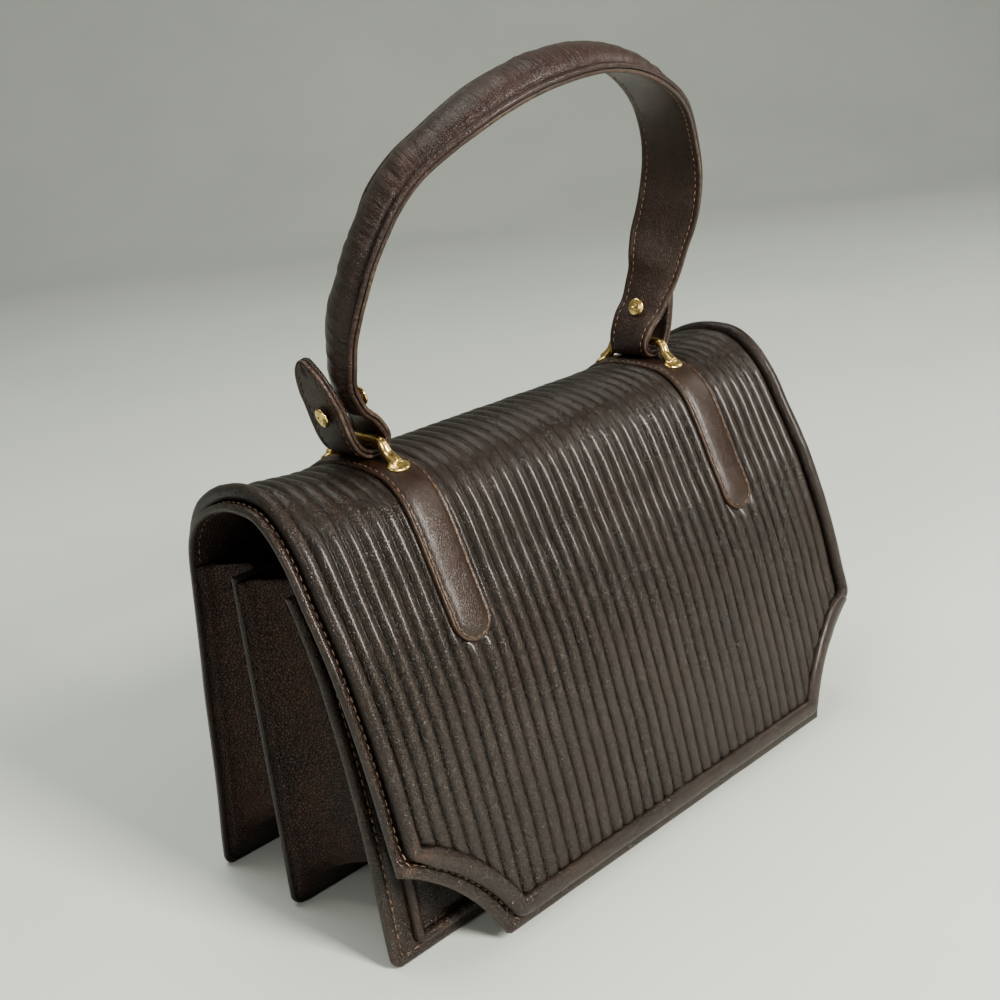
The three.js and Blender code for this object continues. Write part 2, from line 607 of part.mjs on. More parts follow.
add('shell', makeShell(), finish.smooth);
add('pleats', makePleats(), finish.pleats);
add('shell_roll', makeShellRoll(), finish.pleats);
add('front_panel', makeFrontPanel(), finish.smooth);
add('front_roll', makePanelRoll(), finish.smooth);
add('divider', makeDivider(), finish.smooth);
add('gusset_rear', makeGusset(shellInnerY, () => DIVIDER_Y + PANEL_THICK / 2, REAR_FOLD), finish.gusset);
add('gusset_front', makeGusset(() => DIVIDER_Y - PANEL_THICK / 2, panelInnerY, FRONT_FOLD), finish.gusset);
add('strap_left', makeStrap(-1), finish.smooth);
add('strap_right', makeStrap(1), finish.smooth);
add('loop_left', makeLoop(-1), finish.brass);
add('loop_right', makeLoop(1), finish.brass);
add('handle_strap', makeHandleStrap(), finish.handle);
add('handle_cover', makeHandleCover(), finish.handle);
add('rivet_left', makeRivet(-1), finish.brass);
add('rivet_right', makeRivet(1), finish.brass);

export default bag;
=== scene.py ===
import math

import bmesh
import bpy
import numpy as np
from mathutils import Matrix, Vector


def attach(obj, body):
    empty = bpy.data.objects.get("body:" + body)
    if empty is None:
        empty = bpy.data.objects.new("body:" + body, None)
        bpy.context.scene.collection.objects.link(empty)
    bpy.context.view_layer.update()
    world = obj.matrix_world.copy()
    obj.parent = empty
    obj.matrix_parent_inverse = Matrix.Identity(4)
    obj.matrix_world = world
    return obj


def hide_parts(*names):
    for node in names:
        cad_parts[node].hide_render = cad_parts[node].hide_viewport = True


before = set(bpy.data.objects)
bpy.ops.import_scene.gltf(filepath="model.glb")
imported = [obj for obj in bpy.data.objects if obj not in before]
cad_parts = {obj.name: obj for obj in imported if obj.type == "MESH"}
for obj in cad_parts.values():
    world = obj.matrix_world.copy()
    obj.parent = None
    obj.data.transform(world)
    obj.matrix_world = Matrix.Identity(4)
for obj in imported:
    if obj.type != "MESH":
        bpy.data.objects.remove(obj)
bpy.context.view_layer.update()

# Structured top-handle leather handbag. Tables and lengths here are millimetres
# with y measured from under the top's crown; place() turns them into the frame.
MID_Y = 7.457
FOOT = -4.5
HALF_WIDTH = 125.0
FLAP_BOTTOM = -0.8
HEM_EXTRA = 2.4
NOTCH_TOP = 38.0
NOTCH_FOOT = 89.6
NOTCH_SAG = 4.7
STRAP_X = 71.4
STRAP_HALF = 8.15

PROFILE = np.array([
    [55.7, FOOT, 55.7, FOOT], [54.0, 8.6, 54.0, 8.6], [50.6, 27.3, 50.6, 27.3], [48.1, 45.1, 48.1, 45.1],
    [45.0, 70.7, 45.0, 70.7], [42.2, 87.5, 42.2, 87.5], [40.2, 101.0, 40.2, 101.0], [38.4, 113.0, 38.4, 113.0],
    [36.6, 123.0, 36.8, 123.5], [34.2, 130.0, 34.8, 131.0], [30.6, 136.0, 31.2, 137.6], [26.0, 140.6, 25.8, 143.4],
    [20.4, 144.6, 19.2, 147.4], [14.0, 147.6, 12.6, 150.2], [7.0, 149.3, 5.8, 152.0], [0.0, 149.8, 0.0, 152.8],
    [-7.0, 149.7, -5.5, 152.8], [-12.3, 149.2, -10.4, 152.4], [-17.8, 148.3, -14.8, 151.1], [-22.5, 146.4, -18.8, 148.6],
    [-26.5, 143.4, -22.6, 145.4], [-30.0, 139.0, -26.0, 141.6], [-33.0, 133.4, -29.2, 137.0], [-35.8, 127.2, -32.6, 131.0],
    [-38.2, 121.4, -36.0, 123.6], [-41.2, 114.0, -40.0, 116.0], [-45.4, 104.5, -45.2, 105.0], [-49.2, 94.5, -49.2, 94.5],
    [-53.0, 83.5, -53.0, 83.5], [-57.0, 69.3, -57.0, 69.3], [-60.9, 52.3, -60.9, 52.3], [-63.6, 41.0, -63.6, 41.0],
    [-67.3, 22.0, -67.3, 22.0], [-71.3, FLAP_BOTTOM, -71.3, FLAP_BOTTOM],
])
PANEL = np.array([
    [-49.2, FOOT], [-47.9, 6.0], [-46.6, 22.0], [-44.8, 42.0], [-42.6, 57.6],
    [-39.4, 74.9], [-34.6, 96.1], [-30.6, 107.1], [-26.7, 116.4], [-23.4, 122.8],
])
# x, y, z of the strap's front edge, turn of its cross direction, width, padding
HANDLE = np.array([
    [66.9, -10.6, 158.8, 3, 19.0, 0], [70.8, -11.4, 164.6, 12, 19.0, 0], [75.5, -12.2, 168.6, 18, 19.2, 2.2],
    [79.0, -13.2, 174.0, 25, 19.6, 2.8], [81.3, -14.8, 178.6, 30, 20.5, 3.6], [82.6, -17.7, 185.4, 32, 22.3, 4.7],
    [83.3, -20.9, 193.6, 28.5, 23.8, 4.8], [83.3, -24.8, 201.2, 25.3, 24.4, 4.3], [82.3, -28.6, 209.4, 23, 24.4, 3.9],
    [80.0, -32.2, 218.6, 18, 24.0, 3.3], [76.4, -35.4, 227.0, 12.5, 23.4, 2.6], [71.7, -38.2, 235.0, 6.3, 22.8, 2.2],
    [65.4, -42.0, 242.6, 1.7, 22.8, 2.2], [57.2, -46.8, 249.0, -2.5, 23.2, 2.5], [47.9, -51.0, 254.4, -6.5, 24.0, 2.9],
    [37.5, -54.1, 259.1, -9.7, 24.6, 3.3], [26.0, -56.8, 263.0, -11.7, 25, 3.6], [13.3, -59.0, 265.6, -13.2, 25, 3.7],
    [0, -60.0, 266.7, -14, 25, 3.6],
])
# x, z, front edge y, back edge y of the turned-up end, tip first
TAB = np.array([
    [88.7, 188.6, -1.6, 1.4], [88.1, 186.2, -4.4, 4.4], [87.2, 182.6, -7.0, 6.6], [85.5, 176.8, -9.2, 8.2],
    [83.8, 171.6, -10.2, 8.6], [82.3, 165.5, -10.4, 8.6], [80.9, 160.8, -10.4, 8.6], [79.0, 157.0, -10.4, 8.6],
    [76.4, 154.6, -10.4, 8.6], [73.2, 153.6, -10.4, 8.6], [70.2, 153.8, -10.4, 8.6], [67.8, 155.3, -10.4, 8.6],
])
BAR = {"x": 72.2, "z": 158.4, "front": -13.2, "back": 11.4}
RIVET_OUTER = np.array([86.6, -1.0, 168.1])
RIVET_INNER = np.array([69.4, -3.2, 172.6])


# ------------------------------------------------------------------ mathematics
def smooth(t):
    t = np.clip(t, 0, 1)
    return t * t * (3 - 2 * t)


def spline(rows, t):
    """Smooth curve through a table's rows, at stations t counted in rows."""
    t = np.clip(np.asarray(t, float), 0, len(rows) - 1)
    i = np.minimum(t.astype(int), len(rows) - 2)
    u = (t - i)[..., None]
    ext = np.vstack([2 * rows[0] - rows[1], rows, 2 * rows[-1] - rows[-2]])
    a, b, c, d = (ext[i + k] for k in range(4))
    return 0.5 * (2 * b + (c - a) * u + (2 * a - 5 * b + 4 * c - d) * u ** 2 + (3 * b - a - 3 * c + d) * u ** 3)


def unit(v):
    return v / np.maximum(np.linalg.norm(v, axis=-1, keepdims=True), 1e-12)


def lattice(ix, iy, iz, seed):
    n = (ix * 73856093) ^ (iy * 19349663) ^ (iz * 83492791) ^ (seed * 26544357)
    n = n & 0x7FFFFFFF
    n = (n << 13) ^ n
    n = (n * (n * n * 15731 + 789221) + 1376312589) & 0x7FFFFFFF
    return n / 1073741824.0 - 1.0


def vnoise(p, scale=1.0, seed=1):
    """Smooth noise from -1 to 1 at points p (mm), with cells of the given size."""
    q = np.asarray(p, float) / scale
    i = np.floor(q).astype(np.int64)
    f = q - i
    u = f * f * (3 - 2 * f)
    out = 0.0
    for dx in (0, 1):
        for dy in (0, 1):
            for dz in (0, 1):
                w = (u[..., 0] if dx else 1 - u[..., 0]) * (u[..., 1] if dy else 1 - u[..., 1]) * (u[..., 2] if dz else 1 - u[..., 2])
                out = out + w * lattice(i[..., 0] + dx, i[..., 1] + dy, i[..., 2] + dz, seed)
    return out


def fractal(p, scale, seed, octaves=3):
    return sum(vnoise(p, scale / 2 ** k, seed + k) / 2 ** k for k in range(octaves)) / 1.6


# --------------------------------------------------------------- body's surface
T_ALL = np.linspace(0, len(PROFILE) - 1, 3301)
P_ALL = spline(PROFILE, T_ALL)[:, :2]
S_ALL = np.concatenate([[0], np.cumsum(np.linalg.norm(np.diff(P_ALL, axis=0), axis=1))])
S_END = S_ALL[-1]
_back, _front = T_ALL <= 11, T_ALL >= 21


def t_of_s(s):
    return np.interp(s, S_ALL, T_ALL)


def s_of_t(t):
    return np.interp(t, T_ALL, S_ALL)


def t_back(z):
    return np.interp(z, P_ALL[_back, 1], T_ALL[_back])


def t_front(z):
    return np.interp(z, P_ALL[_front, 1][::-1], T_ALL[_front][::-1])


def surf(x, t, off=0.0, want_normal=False):
    """Point of the ribbed leather's mean surface, moved out by off."""
    x, t, off = np.broadcast_arrays(np.asarray(x, float), np.asarray(t, float), np.asarray(off, float))
    k = smooth((np.abs(x) - 88) / 30)[..., None]

    def at(tt):
        r = spline(PROFILE, tt)
        return r[..., :2] * (1 - k) + r[..., 2:] * k

    d = unit(at(np.minimum(t + 0.06, 33)) - at(np.maximum(t - 0.06, 0)))
    p = at(t)
    out = np.stack([x, p[..., 0] + d[..., 1] * off, p[..., 1] - d[..., 0] * off], -1)
    if want_normal:
        return out, np.stack([np.zeros_like(x), d[..., 1], -d[..., 0]], -1)
    return out


_a, _b = np.array([HALF_WIDTH, NOTCH_TOP]), np.array([NOTCH_FOOT, FLAP_BOTTOM])
_chord = np.linalg.norm(_b - _a)
NOTCH_R = _chord ** 2 / (8 * NOTCH_SAG) + NOTCH_SAG / 2
_out = np.array([_a[1] - _b[1], _b[0] - _a[0]]) / _chord
NOTCH_C = (_a + _b) / 2 + _out * (NOTCH_R - NOTCH_SAG)


def flap_foot(x, inset=0.0):
    """Lowest height of the flap at width x, and the slope factor there."""
    x = np.abs(x)
    r = NOTCH_R + inset
    dx = np.minimum(x - NOTCH_C[0], -0.5)
    arc = NOTCH_C[1] + np.sqrt(np.maximum(r * r - dx * dx, 0.0))
    hem = FLAP_BOTTOM + inset
    on_arc = arc > hem
    slope = np.where(on_arc, -dx / np.maximum(arc - NOTCH_C[1], 1e-6), 0.0)
    return np.where(on_arc, arc, hem), np.sqrt(1 + slope ** 2)


def back_foot(x, inset=0.0, r=4.0):
    x = np.abs(x)
    k = np.clip(x - (HALF_WIDTH - r), 0, r)
    return np.where(x > HALF_WIDTH - r, r - np.sqrt(np.maximum(r * r - k * k, 0)), 0.0) + inset + FOOT


def inset_of(x, t):
    """Distance of a surface point from the leather's edge."""
    x = np.abs(x)
    s = s_of_t(t)
    z = np.interp(t, T_ALL, P_ALL[:, 1])
    d = np.minimum(HALF_WIDTH - x, np.minimum(S_END - s, s))
    notch = np.hypot(x - NOTCH_C[0], z - NOTCH_C[1]) - NOTCH_R
    d = np.where((t > 26) & (x > 70), np.minimum(d, notch), d)
    r = 4.0
    corner = r - np.hypot(x - (HALF_WIDTH - r), s - r)
    return np.where((s < r) & (x > HALF_WIDTH - r), np.minimum(d, corner), d)


def hem_distance(x, t):
    """Distance from the flap's hem and notches alone; large elsewhere."""
    x = np.abs(x)
    z = np.interp(t, T_ALL, P_ALL[:, 1])
    notch = np.hypot(x - NOTCH_C[0], z - NOTCH_C[1]) - NOTCH_R
    d = np.where(x > 70, np.minimum(S_END - s_of_t(t), notch), S_END - s_of_t(t))
    return np.where(t > 24, d, 99.0)


EDGE_STEPS = np.array([0, 0.25, 0.6, 1.0, 1.5, 2.0, 2.5, 2.9, 3.3, 3.8, 4.4, 5.0, 5.8, 7.0, 8.6, 11.0])


def body_stations(x, inset, spacing, steps, extra=0.0):
    """Rows of stations at each width x, from the back's foot to the flap's hem."""
    lo = t_back(np.maximum(back_foot(x, inset), FOOT))
    foot, factor = flap_foot(x, inset + extra)
    s0 = s_of_t(lo)
    sa, sb = 24.0, s_of_t(t_front(58.0))
    n_mid = int(round((sb - sa) / spacing))
    rows = [s0 + d for d in steps]
    start = s0 + steps[-1]
    for k in range(1, 4):
        rows.append(start + (sa - start) * k / 4)
    for k in range(n_mid + 1):
        rows.append(np.full_like(s0, sa + (sb - sa) * k / n_mid))
    s1 = s_of_t(t_front(foot))
    last = s1 - steps[-1] * factor * 1.02
    n_low = 16
    for k in range(1, n_low):
        rows.append(sb + (last - sb) * k / n_low)
    for d in steps[::-1]:
        rows.append(s1 - d * factor * 1.02)
    return t_of_s(np.array(rows))


# ---------------------------------------------------------------------- meshes
MATERIALS = {}


def place(v):
    v = np.asarray(v, float).reshape(-1, 3)
    return (v + [0, MID_Y, -FOOT]) * 0.001


def piece(name, verts, faces, material, replaces=(), attributes=None, flat=False, orient=True):
    me = bpy.data.meshes.new(name)
    me.from_pydata(place(verts).tolist(), [], [list(map(int, f)) for f in faces])
    me.validate()
    for key, values in (attributes or {}).items():
        a = me.attributes.new(key, "FLOAT", "POINT")
        a.data.foreach_set("value", np.asarray(values, np.float32).ravel())
    if orient:
        bm = bmesh.new()
        bm.from_mesh(me)
        bmesh.ops.recalc_face_normals(bm, faces=bm.faces)
        bm.to_mesh(me)
        bm.free()
    me.polygons.foreach_set("use_smooth", [not flat] * len(me.polygons))
    me.update()
    ob = bpy.data.objects.new(name, me)
    bpy.context.scene.collection.objects.link(ob)
    me.materials.append(MATERIALS[material])
    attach(ob, "root")
    if replaces:
        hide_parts(*replaces)
    return ob


def wall(outer, inner):
    """Closed wall between two matching grids of points."""
    rows, cols = outer.shape[:2]
    verts = np.concatenate([outer.reshape(-1, 3), inner.reshape(-1, 3)])
    o = np.arange(rows * cols).reshape(rows, cols)
    i = o + rows * cols
    quad = lambda a, b, c, d: np.stack([a, b, c, d], -1).reshape(-1, 4)
    faces = [
        quad(o[:-1, :-1], o[1:, :-1], o[1:, 1:], o[:-1, 1:]),
        quad(i[:-1, :-1], i[:-1, 1:], i[1:, 1:], i[1:, :-1]),
        quad(o[:-1, 0], i[:-1, 0], i[1:, 0], o[1:, 0]),
        quad(o[:-1, -1], o[1:, -1], i[1:, -1], i[:-1, -1]),
        quad(o[0, :-1], o[0, 1:], i[0, 1:], i[0, :-1]),
        quad(o[-1, :-1], i[-1, :-1], i[-1, 1:], o[-1, 1:]),
    ]
    return verts, np.concatenate(faces)


def tube(loops, ringed):
    """Solid through rows of loops (rows, sides, 3)."""
    rows, n = loops.shape[:2]
    idx = np.arange(rows * n).reshape(rows, n)
    nxt = np.roll(idx, -1, axis=0) if ringed else idx[1:]
    cur = idx if ringed else idx[:-1]
    faces = np.stack([cur, nxt, np.roll(nxt, -1, axis=1), np.roll(cur, -1, axis=1)], -1).reshape(-1, 4).tolist()
    if not ringed:
        faces.append(idx[0].tolist())
        faces.append(idx[-1][::-1].tolist())
    return loops.reshape(-1, 3), faces


def sweep(points, ups, half_width, height, sides=16, ringed=True, depth=None, ease=1.0):
    """Roll along points; ups are the surface directions. height above, depth below."""
    points, ups = np.asarray(points, float), np.asarray(ups, float)
    if ringed:
        tan = unit(np.roll(points, -1, 0) - np.roll(points, 1, 0))
    else:
        tan = unit(np.gradient(points, axis=0))
    up = unit(ups - tan * np.sum(ups * tan, -1, keepdims=True))
    side = np.cross(tan, up)
    a = np.linspace(0, 2 * np.pi, sides, endpoint=False)
    c, s = np.cos(a), np.sin(a)
    column = lambda v: np.broadcast_to(np.asarray(v, float), (len(points),))[:, None]
    depth = height if depth is None else depth
    hv = np.where(c[None, :] > 0, column(height), column(depth))
    wv = column(half_width)
    c2 = np.sign(c) * np.abs(c) ** ease
    loops = points[:, None] + up[:, None] * (hv * c2[None, :])[..., None] + side[:, None] * (wv * s[None, :])[..., None]
    return tube(loops, ringed)


def resample(path, step, closed=True):
    path = np.asarray(path, float)
    if closed:
        path = np.vstack([path, path[:1]])
    d = np.concatenate([[0], np.cumsum(np.linalg.norm(np.diff(path, axis=0), axis=1))])
    n = max(int(round(d[-1] / step)), 4)
    at = np.linspace(0, d[-1], n, endpoint=not closed)
    return np.stack([np.interp(at, d, path[:, k]) for k in range(path.shape[1])], -1)


def rounded(path, radius, step=0.4):
    """Closed path with its corners rounded to about the radius."""
    p = resample(path, step)
    w = max(int(radius / step), 1)
    k = np.exp(-0.5 * (np.arange(-2 * w, 2 * w + 1) / (0.62 * w)) ** 2)
    k /= k.sum()
    return np.stack([np.convolve(np.concatenate([c[-2 * w:], c, c[:2 * w]]), k, "valid") for c in p.T], -1)


def stitches(points, ups, pitch, length, width, height, closed=True, skip=None, seed=3, lean=0.0):
    """Joined thread stitches along a path on a surface."""
    both = np.hstack([points, ups])
    d = resample(both, pitch, closed)
    pos, up = d[:, :3], unit(d[:, 3:])
    tan = unit(np.roll(pos, -1, 0) - np.roll(pos, 1, 0)) if closed else unit(np.gradient(pos, axis=0))
    up = unit(up - tan * np.sum(up * tan, -1, keepdims=True))
    side = np.cross(tan, up)
    rng = np.random.default_rng(seed)
    us = np.array([-1, -0.72, 0, 0.72, 1.0])
    rs = np.array([0.25, 0.8, 1.0, 0.8, 0.25])
    hs = np.array([-0.7, 0.35, 0.6, 0.35, -0.7])
    n = 6
    ang = np.linspace(0, 2 * np.pi, n, endpoint=False)
    verts, faces, base = [], [], 0
    for k in range(len(pos)):
        if skip is not None and skip(pos[k]):
            continue
        turn = lean + rng.normal(0, 0.06)
        t2 = tan[k] * math.cos(turn) + side[k] * math.sin(turn)
        s2 = np.cross(t2, up[k])
        ln = length * (1 + rng.normal(0, 0.06)) / 2
        lift = rng.normal(0, 0.03)
        for u, r, h in zip(us, rs, hs):
            c = pos[k] + t2 * (u * ln) + up[k] * (height * h + lift)
            for a in ang:
                verts.append(c + s2 * (math.sin(a) * width / 2 * r) + up[k] * (math.cos(a) * height * r))
        for j in range(4):
            for i in range(n):
                i2 = (i + 1) % n
                faces.append([base + j * n + i, base + (j + 1) * n + i, base + (j + 1) * n + i2, base + j * n + i2])
        faces.append([base + i for i in range(n)])
        faces.append([base + 4 * n + i for i in range(n)][::-1])
        base += 5 * n
    return np.array(verts), faces


# ------------------------------------------------------------------- materials
def lin(r, g, b):
    f = lambda c: (c / 255 / 12.92) if c / 255 <= 0.04045 else ((c / 255 + 0.055) / 1.055) ** 2.4
    return (f(r), f(g), f(b), 1.0)


class Graph:
    def __init__(self, name):
        self.mat = bpy.data.materials.new(name)
        self.mat.use_nodes = True
        self.tree = self.mat.node_tree
        self.tree.nodes.clear()
        self.out = self.node("ShaderNodeOutputMaterial")
        self.bsdf = self.node("ShaderNodeBsdfPrincipled")
        self.link(self.bsdf.outputs[0], self.out.inputs[0])
        self.coord = self.node("ShaderNodeTexCoord").outputs["Object"]
        MATERIALS[name] = self.mat

    def node(self, kind, **props):
        n = self.tree.nodes.new(kind)
        for k, v in props.items():
            setattr(n, k, v)
        return n

    def link(self, a, b):
        self.tree.links.new(a, b)

    def put(self, socket, value):
        if isinstance(value, bpy.types.NodeSocket):
            self.link(value, socket)
        else:
            socket.default_value = value

    def noise(self, scale, detail=3, rough=0.55, distortion=0.0, vector=None):
        n = self.node("ShaderNodeTexNoise")
        self.link(vector or self.coord, n.inputs["Vector"])
        n.inputs["Scale"].default_value = scale
        n.inputs["Detail"].default_value = detail
        n.inputs["Roughness"].default_value = rough
        n.inputs["Distortion"].default_value = distortion
        return n.outputs["Fac"]

    def voronoi(self, scale, feature="F1", vector=None, randomness=1.0):
        n = self.node("ShaderNodeTexVoronoi", feature=feature)
        self.link(vector or self.coord, n.inputs["Vector"])
        n.inputs["Scale"].default_value = scale
        n.inputs["Randomness"].default_value = randomness
        return n.outputs["Distance"]

    def scaled(self, x, y, z):
        n = self.node("ShaderNodeMapping")
        self.link(self.coord, n.inputs["Vector"])
        n.inputs["Scale"].default_value = (x, y, z)
        return n.outputs[0]

    def strip(self):
        n = self.node("ShaderNodeCombineXYZ")
        self.link(self.attribute("along"), n.inputs[0])
        self.link(self.attribute("around"), n.inputs[1])
        return n.outputs[0]

    def math(self, op, a, b=0.0, clamp=False):
        n = self.node("ShaderNodeMath", operation=op, use_clamp=clamp)
        self.put(n.inputs[0], a)
        self.put(n.inputs[1], b)
        return n.outputs[0]

    def remap(self, v, a, b, c=0.0, d=1.0):
        n = self.node("ShaderNodeMapRange")
        self.put(n.inputs["Value"], v)
        for key, value in (("From Min", a), ("From Max", b), ("To Min", c), ("To Max", d)):
            n.inputs[key].default_value = value
        return n.outputs[0]

    def mix(self, fac, a, b, mode="MIX"):
        n = self.node("ShaderNodeMix", data_type="RGBA", blend_type=mode)
        self.put(n.inputs[0], fac)
        self.put(n.inputs[6], a)
        self.put(n.inputs[7], b)
        return n.outputs[2]

    def attribute(self, name):
        return self.node("ShaderNodeAttribute", attribute_name=name).outputs["Fac"]

    def bump(self, height, distance, strength=1.0, normal=None):
        n = self.node("ShaderNodeBump")
        n.inputs["Strength"].default_value = strength
        n.inputs["Distance"].default_value = distance
        self.put(n.inputs["Height"], height)
        if normal is not None:
            self.link(normal, n.inputs["Normal"])
        return n.outputs[0]


def leather(name, dark, light, worn=None, rough=(0.36, 0.5), grain=1500, grain_depth=0.00007, fine_depth=0.00004,
            wrinkle=None, coat=0.12, coat_rough=0.28, painted_glint_speck=None, wear_from=None, painted_crease_shade=False, specular=0.5):
    g = Graph(name)
    patches = g.remap(g.noise(28, 4, 0.6), 0.36, 0.64)
    mid = g.remap(g.noise(160, 3, 0.6), 0.38, 0.66)
    colour = g.mix(g.math("MULTIPLY", g.math("ADD", patches, mid), 0.5), dark, light)
    fine = g.noise(grain * 2.1, 2, 0.6)
    cells = g.voronoi(grain, "DISTANCE_TO_EDGE")
    pebbles = g.remap(cells, 0.0, 0.16)
    # painted glints: lighter specks mixed into the colour stand in for the gloss glints of the grain
    if painted_glint_speck is not None:
        colour = g.mix(g.remap(g.noise(1100, 2, 0.7), 0.56, 0.74), colour, painted_glint_speck)
    if worn is not None:
        if wear_from:
            amount = g.math("MULTIPLY", g.attribute(wear_from), g.remap(g.noise(420, 4, 0.7), 0.38, 0.68), clamp=True)
        else:
            amount = g.math("MULTIPLY", g.remap(g.noise(60, 4, 0.7), 0.52, 0.75), 0.6, clamp=True)
        colour = g.mix(amount, colour, worn)
    # painted shade: the crease-shade attribute darkens the colour towards near black
    if painted_crease_shade:
        colour = g.mix(g.attribute("painted_crease_shade"), colour, (0.006, 0.004, 0.003, 1))
    colour = g.mix(g.remap(pebbles, 0.0, 1.0, 0.3, 0.0), colour, (dark[0] * 0.35, dark[1] * 0.35, dark[2] * 0.35, 1))
    g.link(colour, g.bsdf.inputs["Base Color"])
    r = g.remap(g.math("ADD", g.math("MULTIPLY", patches, 0.6), g.math("MULTIPLY", fine, 0.5)), 0.1, 1.0, rough[0], rough[1])
    g.link(r, g.bsdf.inputs["Roughness"])
    normal = g.bump(pebbles, grain_depth, 1.0)
    normal = g.bump(fine, fine_depth, 1.0, normal)
    if wrinkle is not None:
        vector, scale, depth = wrinkle
        w = g.noise(scale, 3, 0.55, 0.6, g.strip() if vector is None else g.scaled(*vector))
        normal = g.bump(w, depth, 1.0, normal)
    g.link(normal, g.bsdf.inputs["Normal"])
    g.bsdf.inputs["Coat Weight"].default_value = coat
    g.bsdf.inputs["Coat Roughness"].default_value = coat_rough
    g.bsdf.inputs["Specular IOR Level"].default_value = specular
    return g


# the ribbed leather takes painted crease shade from its mesh attribute
leather("ribbed", lin(27, 19, 13), lin(43, 31, 22), worn=lin(54, 41, 31), rough=(0.24, 0.33), grain=1150,
        grain_depth=0.00016, fine_depth=0.00019, wear_from="wear", painted_crease_shade=True, coat=0.22, coat_rough=0.17, specular=0.5)
leather("border", lin(31, 21, 15), lin(46, 33, 24), worn=lin(84, 62, 46), rough=(0.25, 0.34), grain=1150,
        grain_depth=0.00013, fine_depth=0.00015, wear_from="wear", coat=0.15, coat_rough=0.2, specular=0.5)
leather("strap", lin(40, 27, 18), lin(52, 36, 25), worn=lin(84, 64, 47), rough=(0.23, 0.31), grain=1500,
        grain_depth=0.00004, fine_depth=0.00007, wear_from="wear", coat=0.08, specular=0.45)
leather("panel", lin(28, 20, 15), lin(44, 32, 24), rough=(0.32, 0.44), grain=1050, grain_depth=0.00014, fine_depth=0.00014,
        worn=lin(60, 46, 36), specular=0.45)
# the gusset leather takes painted crease shade from its mesh attribute and painted glint specks
leather("gusset", lin(30, 15, 9), lin(60, 33, 22), rough=(0.3, 0.44), grain=850, grain_depth=0.00034,
        fine_depth=0.00030, painted_glint_speck=lin(100, 62, 44), coat=0.06, worn=lin(76, 44, 31), painted_crease_shade=True, specular=0.4)
leather("padded", lin(36, 20, 14), lin(56, 35, 26), rough=(0.27, 0.36), grain=1300, grain_depth=0.00009,
        fine_depth=0.00013, wear_from="wear", worn=lin(78, 56, 44), coat=0.12, coat_rough=0.22, specular=0.5,
        wrinkle=(None, 1.0, 0.0009))
leather("lining", lin(40, 25, 19), lin(58, 40, 30), rough=(0.32, 0.44), grain=1300, grain_depth=0.0001,
        fine_depth=0.0001, wear_from="wear", worn=lin(112, 88, 70), coat=0.12, wrinkle=((1, 1, 1), 380, 0.0003))
leather("inside", lin(34, 20, 14), lin(50, 31, 23), rough=(0.42, 0.56), grain=900, grain_depth=0.0002,
        fine_depth=0.00014, coat=0.0)

g = Graph("thread")
tone = g.mix(g.remap(g.noise(700, 2), 0.35, 0.65), lin(92, 68, 52), lin(140, 112, 90))
g.link(tone, g.bsdf.inputs["Base Color"])
g.bsdf.inputs["Roughness"].default_value = 0.6
g.link(g.bump(g.noise(5200, 2), 0.00005), g.bsdf.inputs["Normal"])

g = Graph("thread_dark")
tone = g.mix(g.remap(g.noise(700, 2), 0.35, 0.65), lin(66, 48, 37), lin(132, 106, 86))
g.link(tone, g.bsdf.inputs["Base Color"])
g.bsdf.inputs["Roughness"].default_value = 0.6
g.link(g.bump(g.noise(5200, 2), 0.00005), g.bsdf.inputs["Normal"])

g = Graph("brass")
tarnish = g.remap(g.noise(260, 4, 0.65), 0.52, 0.8)
g.link(g.mix(tarnish, (0.86, 0.64, 0.28, 1), (0.50, 0.34, 0.13, 1)), g.bsdf.inputs["Base Color"])
g.bsdf.inputs["Metallic"].default_value = 1.0
g.link(g.remap(g.noise(900, 3), 0.3, 0.7, 0.16, 0.34), g.bsdf.inputs["Roughness"])
g.link(g.bump(g.noise(360, 2), 0.00003, 0.5), g.bsdf.inputs["Normal"])


# ---------------------------------------------------------------- ribbed leather
PITCH = 5.64
RIBS = 20                                   # ribs to each side of the middle one
PLEAT_INSET = 8.2
ROLL_INSET = 5.75
rng = np.random.default_rng(11)
PHASES = np.array([-0.5, -0.465, -0.41, -0.32, -0.19, -0.06, 0.07, 0.2, 0.32, 0.41, 0.465])
RIB_GAIN = 1 + rng.normal(0, 0.06, 2 * RIBS + 1)
AMP_T = [0, 4, 8, 9.5, 11, 12.5, 14, 16.5, 17.5, 18.5, 19.6, 20.6, 22, 24, 28, 30, 33]
AMP_V = [0.85, 0.95, 0.9, 0.75, 0.6, 0.7, 0.85, 0.85, 0.75, 0.5, 0.42, 0.6, 0.88, 1.0, 0.9, 0.76, 0.66]


